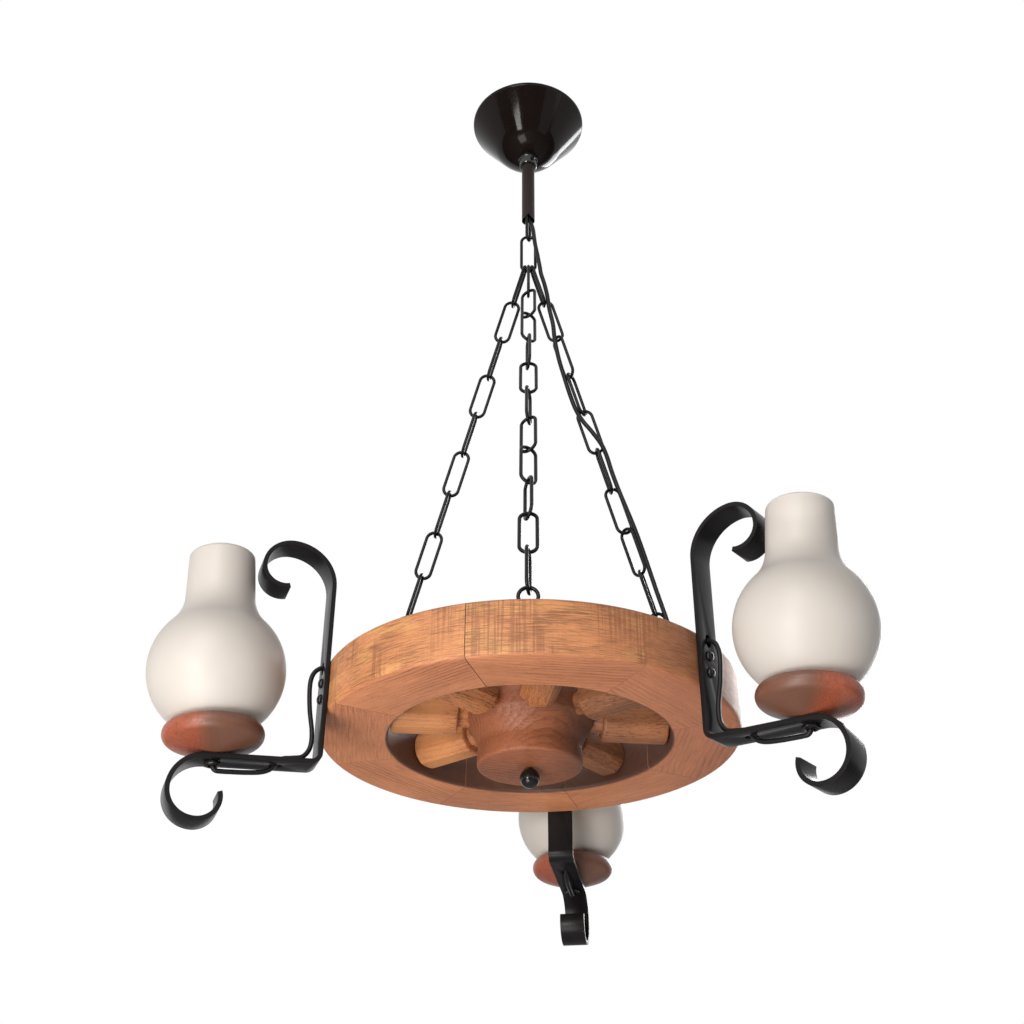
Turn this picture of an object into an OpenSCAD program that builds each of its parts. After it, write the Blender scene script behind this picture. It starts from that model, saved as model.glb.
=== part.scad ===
// Wagon wheel chandelier: a wooden wheel on three chains, with three scrolled iron
// arms that carry turned cups and frosted glass chimneys.
// Millimetres, +Z up. The origin is the point where the stem link bears on its ceiling hook.

/* [Wheel] */
// Radius of the wheel over its felloes
wheel_r = 190; // [170:1:210]
// Radius of the round opening inside the felloes
rim_inner_r = 128; // [120:1:138]
// Thickness of the felloes
rim_thick = 50; // [44:1:60]
// Radius of the rounding on the felloe edges
rim_round = 4; // [2:0.5:8]
// Number of felloes, each with one spoke at its middle
felloe_count = 8; // [8:1:8]
// Turn of the first felloe joint from +X, in degrees
felloe_turn = 38.6; // [36:0.1:42]
// Glue line between two felloes
felloe_seam = 0.3; // [0.1:0.1:0.8]

/* [Spokes and hub] */
// Diameter of a spoke's thick body
spoke_d = 37; // [32:0.5:40]
// Distance across the hewn flats of a spoke
spoke_flats = 34; // [30:0.5:37]
// Distance from the wheel's axis at which the thick body starts
spoke_shoulder = 66; // [63:0.5:72]
// Diameter of the tenons at both ends of a spoke
tenon_d = 22; // [14:0.5:24]
// Depth of a tenon in its hole
tenon_depth = 15; // [10:0.5:16]
// Clearance of a tenon in its hole, on the radius
tenon_clear = 0.05; // [0.02:0.01:0.3]
// Air between the thick body of a spoke and the felloe
spoke_gap = 0.3; // [0.1:0.1:1]
// Radius of the hub at its widest
hub_r = 58; // [55:0.5:60]
// Radius of the drum under the hub
drum_r = 47.5; // [42:0.5:50]
// Drop of the drum's face below the middle of the wheel
drum_drop = 48; // [42:0.5:56]
// Diameter of the ball knob under the hub
knob_d = 18; // [14:0.5:24]
// Diameter of the knob's stud
knob_stud_d = 5; // [4:0.5:8]
// Length of the knob's stud in the hub
knob_stud_len = 15; // [10:1:24]

/* [Chains] */
// Diameter of the chain wire
wire_d = 3.4; // [2.8:0.1:3.6]
// Width over a chain link
link_w = 19; // [18:0.5:22]
// Pitch of the chain, from bearing to bearing
link_pitch = 47.8; // [44:0.1:52]
// Number of links from the gather link to an eye
link_count = 11; // [11:1:11]
// Play between two links that hang in each other
link_gap = 0.4; // [0.3:0.05:0.6]
// Sideways place of the outer strands on the gather link
strand_side = 4.4; // [4.2:0.1:4.6]
// Radius of the circle of eye screws on the wheel
eye_circle_r = 170; // [164:1:176]
// Outside diameter of an eye
eye_d = 20; // [18:0.5:22]
// Length of an eye screw in the wood
eye_shank = 24; // [16:1:32]
// Clearance of a screw in its hole, on the radius
screw_clear = 0.05; // [0.02:0.01:0.2]

/* [Stem] */
// Length of the long stem link, from bearing to bearing
stem_len = 144; // [130:1:160]
// Width over the stem link
stem_w = 12.8; // [12.6:0.1:13]
// Outside diameter of the sleeve round the stem
sleeve_d = 14.8; // [14.6:0.1:16]
// Wall of the sleeve
sleeve_wall = 0.6; // [0.4:0.1:0.8]
// Drop of the sleeve's upper end below the hook
sleeve_top = 14; // [12:1:24]
// Drop of the sleeve's lower end below the hook
sleeve_bottom = 117; // [100:1:125]

/* [Canopy] */
// Radius of the canopy's rim
canopy_r = 66; // [66:1:74]
// Depth of the canopy
canopy_depth = 58; // [54:1:59]
// Wall of the canopy
canopy_wall = 1.2; // [0.8:0.1:2]
// Height of the canopy's rim, and the ceiling, above the hook
ceiling_z = 40; // [38:1:46]
// Height of the straight lip at the canopy's rim
canopy_lip = 3; // [2:0.5:4]
// Slope of the canopy's side from upright, in degrees
canopy_slope = 36; // [33:1:37]
// Length of the cord grip under the canopy
grip_len = 13; // [10:1:18]
// Diameter of the cord grip at its upper end
grip_d = 23; // [22:0.5:25]
// Clearance of the cord grip on the sleeve, on the radius
grip_clear = 0.08; // [0.05:0.01:0.1]

/* [Arms] */
// Width of the flat iron
arm_w = 25; // [22:1:28]
// Thickness of the flat iron
arm_t = 4; // [3:0.5:5]
// Air between an arm and the felloes
arm_seat = 0.3; // [0.1:0.05:0.5]
// Height of the upright above the middle of the wheel
upright_top = 94; // [90:1:98]
// Depth of the upright below the middle of the wheel, to the foot bend
upright_bottom = 64; // [62:0.5:68]
// Radius of the foot bend, to the middle of the iron
foot_bend_r = 8; // [6:0.5:12]
// Droop of the leg below level, in degrees
leg_droop = 4; // [2:0.5:6]
// Length of the leg from the foot bend to the lower scroll
leg_len = 86.5; // [84:0.5:92]
// Radii of the upper scroll, to the middle of the iron
upper_scroll = [38, 26, 18.5];
// Radii of the lower scroll, to the middle of the iron
lower_scroll = [29.5, 24, 18.5];
// Diameter of the arm screws
screw_d = 4.6; // [4:0.1:5.5]
// Length of the arm screws in the wood
screw_len = 24; // [18:1:30]

/* [Lamps] */
// Place of a lamp's axis along the leg, from the foot bend
lamp_on_leg = 80; // [78:0.5:82]
// Radius of a cup at its widest
cup_r = 42.3; // [40:0.1:46]
// Height of a cup
cup_h = 26; // [24:1:30]
// Radius of the rounding on a cup's edge
cup_edge = 8.5; // [7:0.5:10]
// Radius of a cup's foot
cup_foot_r = 11; // [9:0.5:14]
// Outer radius of the glass foot
foot_r = 30; // [29:0.5:33]
// Outer radius of the glass bulb
bulb_r = 58.5; // [56:0.5:60]
// Outer radius of the glass neck at its lower end
neck_r = 30; // [28:0.5:31]
// Outer radius of the glass neck at its mouth
mouth_r = 28.8; // [27:0.1:30]
// Height at which the neck starts over the foot
neck_h = 121.5; // [119:0.5:124]
// Height of the glass over its foot
glass_h = 161; // [157:1:166]
// Wall of the glass
glass_wall = 3; // [2.5:0.25:3.5]
// Air between the parts of a lamp that stand on each other
lamp_seat = 0.3; // [0.1:0.05:0.4]
// Radius of the lamp holder's bore
socket_r = 13.4; // [13.2:0.1:13.6]
// Depth of the lamp holder's bore
socket_depth = 30; // [26:1:32]
// Diameter of the lamp holder
holder_d = 36; // [34:0.5:37]
// Height of the lamp holder
holder_h = 43; // [40:1:44]
// Diameter of the threaded tube that ties a lamp to its arm
tube_d = 10; // [9.5:0.5:12]
// Bore of the threaded tube
tube_bore = 7; // [6:0.5:7.5]

/* [Cables] */
// Diameter of the supply cable
supply_d = 4.8; // [4.4:0.1:5]
// Diameter of an arm's cable
arm_cable_d = 4.2; // [4:0.1:4.6]
// Width and depth of the cable groove in the top of the wheel
groove = 10; // [10:0.5:12]
// Radius of the cable groove
groove_r = 150; // [149:1:152]
// Diameter of the cable hole from the groove to an arm
cable_hole_d = 7; // [6:0.5:8]

/* [Hidden] */
$fn = 48;
iron = "#201e1f";
pine = "#b0723f";
walnut = "#6b3a26";
glass = "#e9e2da";
rubber = "#161616";

// directions from the wheel's axis, in degrees from +X
far_a = 90;
left_a = 210;
right_a = 330;
eye_near_a = 279;
eye_left_a = 162;
eye_right_a = 33;
gather_a = 9.3;
stem_a = 77.3;

// chain: where the links bear, and where the strands run
link_rho = (link_w - wire_d) / 2;
link_in = link_pitch + link_gap;
stem_in = stem_len + link_gap / 2;
eye_rho = (eye_d - wire_d) / 2;
eye_lift = 1 + eye_d / 2;
stem_pin_z = -stem_in - wire_d / 2;
gather_z = stem_pin_z + wire_d / 2 + link_gap;
gather_pin_z = gather_z - link_in - wire_d / 2;
near_len = link_count * link_pitch - wire_d - link_gap;
eye_z = gather_pin_z - sqrt(near_len * near_len - eye_circle_r * eye_circle_r) - eye_rho;
top_z = eye_z - eye_lift;
wheel_z = top_z - rim_thick / 2;
side_rise = link_rho - sqrt(link_rho * link_rho - strand_side * strand_side);

// rolls of the links round their strand, from face on to the front
near_rolls = [90, 150, 210, 280, 0, 77, 150, 210, 292, 0, 80];
left_rolls = [90, 0, 90, 0, 90, 0, 90, 0, 90, 0, 90];
right_rolls = [90, 0, 120, 60, 0, 90, 10, 130, 70, 0, 90];

near_from = [0, 0, gather_pin_z];
left_from = polar(-strand_side, gather_a, gather_pin_z + side_rise);
right_from = polar(strand_side, gather_a, gather_pin_z + side_rise);
near_eye = polar(eye_circle_r, eye_near_a, eye_z);
left_eye = polar(eye_circle_r, eye_left_a, eye_z);
right_eye = polar(eye_circle_r, eye_right_a, eye_z);
near_to = near_eye + [0, 0, eye_rho];
left_to = left_eye + eye_rho * unit(left_from - left_eye);
right_to = right_eye + eye_rho * unit(right_from - right_eye);

// canopy: a straight lip, a sloping side and a round bottom with a flat for the cord grip
canopy_floor = ceiling_z - canopy_depth;
lip_z = ceiling_z - canopy_lip;
dish_z = ceiling_z - 13;
dish_r = canopy_r * cos(canopy_slope) - (lip_z - dish_z) * sin(canopy_slope);
// overlap of a curve and the line or curve that follows it
blend = 0.1;
grip_r = sleeve_d / 2 + grip_clear;
grip_neck_r = 9.5;
grip_nut_h = 4;
fit_gap = 0.1;

// arms and lamps
arm_mid = wheel_r + arm_seat + arm_t / 2;
slot_z = 19;
screw_z = [4, -11];
foot_turn = 90 - leg_droop;
leg_x = foot_bend_r * (1 - sin(leg_droop));
leg_z = -upright_bottom - foot_bend_r * cos(leg_droop);
cable_hole_on_leg = 27.5;
leg_hole_d = 7;
tube_nut_h = 3;
tube_low = -arm_t - lamp_seat - tube_nut_h - 0.5;
tube_high = cup_h + 2 * lamp_seat + 9;
glass_base = cup_h + 2 * lamp_seat;
bulb_z = sqrt(bulb_r * bulb_r - foot_r * foot_r);
shoulder_rise = neck_h - bulb_z;
shoulder_c = (neck_r * neck_r + shoulder_rise * shoulder_rise - bulb_r * bulb_r) / (2 * (bulb_r - neck_r));

// the supply cable's directions: out of the stem link, and down beside the right strand
exit_a = stem_a - 90;
right_v = right_to - right_from;
right_az = atan2(right_v[1], right_v[0]);
right_tilt = acos(-right_v[2] / norm(right_v));
groove_z = top_z - groove;
connector_a = 27;
loom_d = 4;

// route of the supply cable above: distance from the axis and height
upper_route = [
    [25, 24], [17, 24], [10.5, 21], [6.2, 14.5], [4.7, 6], [4.5, -2], [3.2, -9.5],
    [0.8, -18], [0, -28], [0, -66], [0, -104], [0.6, -113]
];
// past the gather link: right, back and height
neck_upper_route = [
    [0.56, -0.22, -113.3], [1.9, -0.8, -119], [4, -2, -126], [5.4, -3.8, -134],
    [6.1, -5.6, -142], [6.8, -6.6, -151], [7.8, -6.9, -160], [9, -6.9, -168]
];
neck_lower_route = [[9.05, -6.9, -168.3], [10.4, -6.6, -176], [11.6, -6, -184], [12.9, -5, -192]];
// beside the right strand: to its right, in front of it, and down it
strand_start = [[7, 5, 10], [6.6, 5.2, 24]];
strand_route = [
    [6.6, 5.2, 24.3], [5, 6, 40], [2, 6.5, 58], [0, 6.5, 78], [-3.8, 6, 97], [-6.3, 4.2, 120],
    [-7, 2.5, 143], [-7.5, 2, 165], [-7.2, 3.2, 184], [-5, 5.8, 200], [0.5, 6.6, 216],
    [5.6, 6, 233], [7, 4.6, 247], [6.5, 4.2, 266], [6.6, 5, 288], [7.6, 5, 310],
    [9, 3.4, 333], [9.5, 2, 358], [9, 2.6, 383], [8.4, 3.4, 408], [8, 5, 432],
    [7.6, 5.6, 456], [8.6, 5, 479], [12, 4, 500]
];
// down to the connector in the groove: radius, angle and height over the wheel's top
wheel_route = [[165.5, 28.6, 29], [159, 27.8, 19], [153, 27.2, 10.5], [150.3, 27, 3], [150, 27, -5]];
// an arm's cable: out of the wheel and down the upright (radius and height), then along the leg
upright_route = [
    [groove_r + 3.5, slot_z], [arm_mid - 2.3, slot_z], [arm_mid + 6.2, 16.5], [arm_mid + 10.7, 9.5],
    [arm_mid + 11.9, -2], [arm_mid + 10.2, -22], [arm_mid + 6.7, -42], [arm_mid + 7.2, -56]
];
leg_route = [
    [4.7, 7.8], [14, 5.8], [22, 4.6], [27.5, -0.5], [32.5, -5.5], [40, -8.2], [52, -9.2],
    [64, -9.4], [72, -9.4], [77.4, -8.6], [79.8, -3.5], [80, 12], [80, 33]
];

function polar(r, a, z) = [r * cos(a), r * sin(a), z];
function turn_z(p, a) = [p[0] * cos(a) - p[1] * sin(a), p[0] * sin(a) + p[1] * cos(a), p[2]];
function turn_y(p, a) = [p[0] * cos(a) + p[2] * sin(a), p[1], p[2] * cos(a) - p[0] * sin(a)];
function by_right(q) = right_from
    + turn_z(turn_y(turn_z([q[0], -q[1], -q[2]], gather_a - right_az), -right_tilt), right_az);
function on_leg(q) = [arm_mid + leg_x, 0, wheel_z + leg_z] + turn_y([q[0], 0, q[1]], leg_droop);
function unit(v) = v / norm(v);
function seam_a(i) = felloe_turn + i * 360 / felloe_count;
function spoke_a(i) = seam_a(i) + 180 / felloe_count;

// ---------------------------------------------------------------- wire, links and tubes
// a link of round wire in the XZ plane; the inside of its top bow is at the origin
module wire_link(inner, w) {
    rho = (w - wire_d) / 2;
    top = wire_d / 2 - rho;
    straight = inner - 2 * rho + wire_d;
    translate([0, 0, top])
        rotate([90, 0, 0])
            rotate_extrude(angle = 180)
                translate([rho, 0])
                    circle(d = wire_d);
    translate([0, 0, top - straight])
        rotate([90, 0, 0])
            rotate([0, 0, 180])
                rotate_extrude(angle = 180)
                    translate([rho, 0])
                        circle(d = wire_d);
    for (s = [-1, 1])
        translate([s * rho, 0, top - straight])
            cylinder(d = wire_d, h = straight);
}

// a frame at a strand's upper bearing: Z up the strand, X to the right seen from the front
module strand_frame(from, to) {
    v = to - from;
    az = atan2(v[1], v[0]);
    tilt = acos(-v[2] / norm(v));
    translate(from)
        rotate([0, -tilt, az])
            rotate([0, 0, gather_a - az])
                children();
}

module strand(from, to, rolls) {
    play = (link_count * link_in - wire_d - norm(to - from)) / (link_count + 1);
    strand_frame(from, to)
        for (i = [0 : link_count - 1])
            translate([0, 0, wire_d / 2 + play - i * (link_in - play)])
                rotate([0, 0, rolls[i]])
                    wire_link(link_in, link_w);
}

module eye_screw(at, a) {
    translate(at)
        rotate([0, 0, a]) {
            rotate([90, 0, 0])
                rotate_extrude()
                    translate([eye_rho, 0])
                        circle(d = wire_d);
            translate([0, 0, -eye_lift - eye_shank])
                cylinder(d = wire_d, h = eye_lift + eye_shank - eye_rho);
        }
}

// a round tube swept along a path by rings of n points; ref is never along the path
function tube_dir(p, i) = unit(p[min(i + 1, len(p) - 1)] - p[max(i - 1, 0)]);
function tube_side(p, i, ref) = unit(cross(tube_dir(p, i), ref));
function tube_ring(p, i, r, ref, n) = [
    for (k = [0 : n - 1])
        p[i] + r * cos(360 * k / n) * tube_side(p, i, ref)
            + r * sin(360 * k / n) * cross(tube_dir(p, i), tube_side(p, i, ref))
];

module tube(p, d, ref, n = 10) {
    m = len(p);
    rings = [for (i = [0 : m - 1]) each tube_ring(p, i, d / 2, ref, n)];
    sides = [
        for (i = [0 : m - 2], k = [0 : n - 1])
            [i * n + k, (i + 1) * n + k, (i + 1) * n + (k + 1) % n, i * n + (k + 1) % n]
    ];
    quads = [for (q = sides) each [[q[0], q[1], q[2]], [q[0], q[2], q[3]]]];
    first = [for (k = [0 : n - 1]) k];
    last = [for (k = [0 : n - 1]) (m - 1) * n + n - 1 - k];
    polyhedron(points = rings, faces = concat(quads, [first, last]));
}

// ---------------------------------------------------------------- stem, canopy and chain
module stem_link() {
    color(iron)
        rotate([0, 0, stem_a])
            wire_link(stem_in, stem_w);
}

// the sleeve's lower end has a notch in the front and one in the back
module stem_sleeve() {
    color(rubber)
        translate([0, 0, -sleeve_bottom])
            difference() {
                cylinder(d = sleeve_d, h = sleeve_bottom - sleeve_top);
                translate([0, 0, -1])
                    cylinder(d = sleeve_d - 2 * sleeve_wall, h = sleeve_bottom - sleeve_top + 2);
                rotate([90, 0, gather_a])
                    linear_extrude(height = 2 * sleeve_d, center = true)
                        polygon([[-4.5, -1], [4.5, -1], [0, 5]]);
            }
}

module gather_link() {
    color(iron)
        translate([0, 0, gather_z])
            rotate([0, 0, gather_a])
                wire_link(link_in, link_w);
}

module canopy_fill(t) {
    r = dish_r - t;
    joint_z = dish_z - (r - blend) * sin(canopy_slope);
    intersection() {
        translate([0, dish_z])
            circle(r = r);
        translate([0, canopy_floor + t])
            square([canopy_r, joint_z + 6 - canopy_floor - t]);
    }
    polygon([
        [0, joint_z], [(r - blend) * cos(canopy_slope), joint_z],
        [canopy_r - t, lip_z + t * tan(canopy_slope / 2)], [canopy_r - t, ceiling_z], [0, ceiling_z]
    ]);
}

module canopy() {
    color(iron)
        rotate_extrude()
            difference() {
                canopy_fill(0);
                canopy_fill(canopy_wall);
                translate([0, ceiling_z - 1])
                    square([canopy_r - canopy_wall, 2]);
                translate([0, canopy_floor - 1])
                    square([grip_neck_r + fit_gap, canopy_wall + 2]);
            }
}

module cord_grip() {
    low = canopy_floor - fit_gap - grip_len;
    high = canopy_floor + canopy_wall + grip_nut_h + 1.5;
    color(iron)
        difference() {
            rotate_extrude()
                polygon([
                    [grip_r, low], [grip_d / 2 - 2.2, low], [grip_d / 2 - 1.4, low + 1],
                    [grip_d / 2 - 0.4, canopy_floor - 4], [grip_d / 2, canopy_floor - 3],
                    [grip_d / 2, canopy_floor - fit_gap], [grip_neck_r, canopy_floor - fit_gap],
                    [grip_neck_r, high], [grip_r, high]
                ]);
            rotate([0, 0, gather_a - 60])
                translate([0, 0, canopy_floor - grip_len / 2])
                    rotate([0, 90, 0])
                        cylinder(d = 3.1, h = grip_d);
        }
}

module grip_nut() {
    color(iron)
        translate([0, 0, canopy_floor + canopy_wall + fit_gap])
            difference() {
                cylinder(d = 26, h = grip_nut_h, $fn = 6);
                translate([0, 0, -1])
                    cylinder(r = grip_neck_r + 0.05, h = grip_nut_h + 2);
            }
}

module grip_screw() {
    color(iron)
        rotate([0, 0, gather_a - 60])
            translate([0, 0, canopy_floor - grip_len / 2])
                rotate([0, 90, 0]) {
                    translate([0, 0, sleeve_d / 2 + 0.3])
                        cylinder(d = 3, h = 4.7);
                    translate([0, 0, sleeve_d / 2 + 4])
                        cylinder(d = 5.5, h = 2.2);
                }
}

module ceiling_connector() {
    color("#d8d4c8")
        rotate([0, 0, exit_a])
            difference() {
                translate([19, -7, 17])
                    cube([20, 14, 13]);
                translate([18, 0, 24])
                    rotate([0, 90, 0])
                        cylinder(d = supply_d + 0.4, h = 8);
                for (y = [-3.5, 3.5])
                    translate([33, y, 25])
                        cylinder(d = 3, h = 6);
            }
}

module chain_near() {
    color(iron)
        strand(near_from, near_to, near_rolls);
}

module chain_left() {
    color(iron)
        strand(left_from, left_to, left_rolls);
}

module chain_right() {
    color(iron)
        strand(right_from, right_to, right_rolls);
}

module eye_screws() {
    color(iron) {
        eye_screw(near_eye, gather_a);
        eye_screw(left_eye, eye_a(left_eye, left_from));
        eye_screw(right_eye, eye_a(right_eye, right_from));
    }
}

function eye_a(eye, from) = atan2(eye[1] - from[1], eye[0] - from[0]);

// ---------------------------------------------------------------- cables
module supply_upper() {
    color(rubber)
        tube([for (q = upper_route) polar(q[0], exit_a, q[1])], supply_d, polar(1, exit_a + 90, 0));
}

module supply_neck_upper() {
    color(rubber)
        tube([for (q = neck_upper_route) turn_z(q, gather_a)], supply_d, [0, 1, 0]);
}

module supply_neck_lower() {
    color(rubber)
        tube(
            concat([for (q = neck_lower_route) turn_z(q, gather_a)], [for (q = strand_start) by_right(q)]),
            supply_d, [0, 1, 0]
        );
}

module supply_cable() {
    color(rubber)
        tube(
            concat(
                [for (q = strand_route) by_right(q)],
                [for (q = wheel_route) polar(q[0], q[1], top_z + q[2])]
            ),
            supply_d, [0, 1, 0]
        );
}

module wheel_connector() {
    color("#d8d4c8")
        rotate([0, 0, connector_a])
            translate([groove_r, 0, groove_z + fit_gap])
                difference() {
                    translate([-groove / 2 + 0.6, -11, 0])
                        cube([groove - 1.2, 22, 7]);
                    translate([0, 0, 3.5])
                        cylinder(d = supply_d + 0.4, h = 5);
                    for (s = [-1, 1])
                        translate([0, s * 12, 4])
                            rotate([90, 0, 0])
                                cylinder(d = loom_d + 0.8, h = 12, center = true);
                }
}

// conductors that run round the groove from the connector to the three arms
module rim_loom() {
    gap = 4.4;
    color(rubber)
        translate([0, 0, groove_z + 4 + fit_gap])
            for (run = [
                [connector_a + gap - 2, far_a],
                [far_a + 0.2, left_a],
                [right_a - 360, connector_a - gap + 2]
            ])
                rotate([0, 0, run[0]])
                    rotate_extrude(angle = run[1] - run[0])
                        translate([groove_r, 0])
                            circle(d = loom_d);
}

module arm_cable(a) {
    color(rubber)
        rotate([0, 0, a])
            tube(
                concat([for (q = upright_route) [q[0], 0, wheel_z + q[1]]], [for (q = leg_route) on_leg(q)]),
                arm_cable_d, [0, 1, 0]
            );
}

module arm_cable_far() {
    arm_cable(far_a);
}

module arm_cable_left() {
    arm_cable(left_a);
}

module arm_cable_right() {
    arm_cable(right_a);
}

// ---------------------------------------------------------------- wheel
module felloe_section() {
    w = wheel_r - rim_inner_r;
    difference() {
        translate([rim_inner_r, -rim_thick / 2])
            union() {
                translate([rim_round, 0])
                    square([w - 2 * rim_round, rim_thick]);
                translate([0, rim_round])
                    square([w, rim_thick - 2 * rim_round]);
                for (x = [rim_round, w - rim_round], z = [rim_round, rim_thick - rim_round])
                    translate([x, z])
                        circle(r = rim_round);
            }
        translate([groove_r - groove / 2, rim_thick / 2 - groove])
            square([groove, groove + 1]);
    }
}

module felloe(i) {
    trim = 90 * felloe_seam / (PI * wheel_r);
    color(pine)
        translate([0, 0, wheel_z])
            difference() {
                rotate([0, 0, seam_a(i) + trim])
                    rotate_extrude(angle = 360 / felloe_count - 2 * trim)
                        felloe_section();
                rotate([0, 0, spoke_a(i)])
                    translate([rim_inner_r - 2, 0, 0])
                        rotate([0, 90, 0])
                            cylinder(d = tenon_d + 2 * tenon_clear, h = tenon_depth + 2);
                if (i == 1)
                    arm_holes(far_a);
                if (i == 3)
                    arm_holes(left_a);
                if (i == 6)
                    arm_holes(right_a);
                if (i == 2)
                    eye_hole(left_eye);
                if (i == 5)
                    eye_hole(near_eye);
                if (i == 7)
                    eye_hole(right_eye);
            }
}

module arm_holes(a) {
    rotate([0, 0, a]) {
        translate([groove_r, 0, slot_z])
            rotate([0, 90, 0])
                cylinder(d = cable_hole_d, h = wheel_r);
        for (z = screw_z)
            translate([wheel_r - screw_len - 0.5, 0, z])
                rotate([0, 90, 0])
                    cylinder(d = screw_d + 2 * screw_clear, h = screw_len + 10);
    }
}

module eye_hole(eye) {
    translate([eye[0], eye[1], rim_thick / 2 - eye_shank - 0.5])
        cylinder(d = wire_d + 2 * screw_clear, h = eye_shank + 1);
}

module felloe_1() {
    felloe(0);
}

module felloe_2() {
    felloe(1);
}

module felloe_3() {
    felloe(2);
}

module felloe_4() {
    felloe(3);
}

module felloe_5() {
    felloe(4);
}

module felloe_6() {
    felloe(5);
}

module felloe_7() {
    felloe(6);
}

module felloe_8() {
    felloe(7);
}

module spoke(i) {
    color(pine)
        translate([0, 0, wheel_z])
            rotate([0, 0, spoke_a(i)]) {
                intersection() {
                    translate([spoke_shoulder, 0, 0])
                        rotate([0, 90, 0])
                            cylinder(d = spoke_d, h = rim_inner_r);
                    translate([spoke_shoulder - 1, -spoke_flats / 2, -spoke_flats / 2])
                        cube([rim_inner_r, spoke_flats, spoke_flats]);
                    cylinder(r = rim_inner_r - spoke_gap, h = 2 * spoke_d, center = true);
                }
                translate([hub_r - tenon_depth + fit_gap, 0, 0])
                    rotate([0, 90, 0])
                        cylinder(d = tenon_d, h = rim_inner_r - hub_r + 2 * tenon_depth - 2 * fit_gap);
            }
}

module spoke_1() {
    spoke(0);
}

module spoke_2() {
    spoke(1);
}

module spoke_3() {
    spoke(2);
}

module spoke_4() {
    spoke(3);
}

module spoke_5() {
    spoke(4);
}

module spoke_6() {
    spoke(5);
}

module spoke_7() {
    spoke(6);
}

module spoke_8() {
    spoke(7);
}

module hub() {
    half = rim_thick / 2;
    color(pine)
        translate([0, 0, wheel_z])
            difference() {
                rotate_extrude() {
                    translate([0, -drum_drop])
                        square([drum_r - 3, 10]);
                    translate([0, 3 - drum_drop])
                        square([drum_r, drum_drop - 29]);
                    translate([drum_r - 3, 3 - drum_drop])
                        circle(r = 3);
                    polygon([
                        [0, -27], [drum_r + 1.5, -26], [drum_r + 2, -22], [drum_r + 4.5, -15],
                        [hub_r, -8], [hub_r, half - 4], [hub_r - 4, half - 4], [0, half - 4]
                    ]);
                    translate([hub_r - 4, half - 4])
                        circle(r = 4);
                    square([hub_r - 4, half]);
                }
                for (i = [0 : felloe_count - 1])
                    rotate([0, 0, spoke_a(i)])
                        translate([hub_r - tenon_depth, 0, 0])
                            rotate([0, 90, 0])
                                cylinder(d = tenon_d + 2 * tenon_clear, h = tenon_depth + 2);
                translate([0, 0, -drum_drop - 1])
                    cylinder(d = knob_stud_d + 2 * screw_clear, h = knob_stud_len + 1.5);
            }
}

module hub_knob() {
    color(iron)
        translate([0, 0, wheel_z - drum_drop - lamp_seat - knob_d / 2]) {
            sphere(d = knob_d);
            cylinder(d = knob_stud_d, h = knob_d / 2 + lamp_seat + knob_stud_len);
        }
}

// ---------------------------------------------------------------- arms
// flat iron laid along X: straight runs and bends that carry what follows them
module run(l) {
    translate([0, -arm_t / 2, -arm_w / 2])
        cube([l, arm_t, arm_w]);
    translate([l, 0, 0])
        children();
}

module bend(r, a) {
    s = a > 0 ? 1 : -1;
    mirror([0, s > 0 ? 0 : 1, 0])
        translate([0, r, 0])
            rotate([0, 0, -90])
                rotate_extrude(angle = abs(a))
                    translate([r - arm_t / 2, -arm_w / 2])
                        square([arm_t, arm_w]);
    translate([0, s * r, 0])
        rotate([0, 0, a])
            translate([0, -s * r, 0])
                children();
}

module arm_iron() {
    difference() {
        translate([arm_mid, 0, wheel_z])
            rotate([90, 0, 0]) {
                rotate([0, 0, 90])
                    run(upright_top)
                        bend(upper_scroll[0], -90)
                            bend(upper_scroll[1], -90)
                                bend(upper_scroll[2], -108);
                rotate([0, 0, -90])
                    translate([-1, 0, 0])
                        run(upright_bottom + 1)
                            bend(foot_bend_r, foot_turn)
                                run(leg_len)
                                    bend(lower_scroll[0], -90)
                                        bend(lower_scroll[1], -90)
                                            bend(lower_scroll[2], -105);
            }
        translate([0, 0, wheel_z]) {
            for (z = screw_z)
                translate([wheel_r - 2, 0, z])
                    rotate([0, 90, 0])
                        cylinder(d = screw_d + 0.4, h = 10);
            for (z = [slot_z - 3, slot_z + 1])
                translate([wheel_r - 2, 0, z])
                    rotate([0, 90, 0])
                        cylinder(d = 8, h = 10);
            translate([wheel_r - 2, -4, slot_z - 3])
                cube([10, 8, 4]);
        }
        on_leg_frame() {
            for (x = [-2.5, 2.5])
                translate([cable_hole_on_leg + x, 0, 0])
                    cylinder(d = leg_hole_d, h = 3 * arm_t, center = true);
            translate([cable_hole_on_leg, 0, 0])
                cube([5, leg_hole_d, 3 * arm_t], center = true);
            translate([lamp_on_leg, 0, 0])
                cylinder(d = tube_d + 0.2, h = 3 * arm_t, center = true);
        }
    }
}

module on_leg_frame() {
    translate([arm_mid + leg_x, 0, wheel_z + leg_z])
        rotate([0, leg_droop, 0])
            children();
}

module arm_far() {
    color(iron)
        rotate([0, 0, far_a])
            arm_iron();
}

module arm_left() {
    color(iron)
        rotate([0, 0, left_a])
            arm_iron();
}

module arm_right() {
    color(iron)
        rotate([0, 0, right_a])
            arm_iron();
}

module arm_screws() {
    color(iron)
        for (a = [far_a, left_a, right_a], z = screw_z)
            rotate([0, 0, a])
                translate([wheel_r - screw_len, 0, wheel_z + z])
                    rotate([0, 90, 0]) {
                        cylinder(d = screw_d, h = screw_len + arm_seat + arm_t + 1);
                        translate([0, 0, screw_len + arm_seat + arm_t + fit_gap])
                            cylinder(d = 9, h = 2.6);
                    }
}

// ---------------------------------------------------------------- lamps
module lamp_frame(a) {
    rotate([0, 0, a])
        on_leg_frame()
            translate([lamp_on_leg, 0, arm_t / 2])
                children();
}

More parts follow.
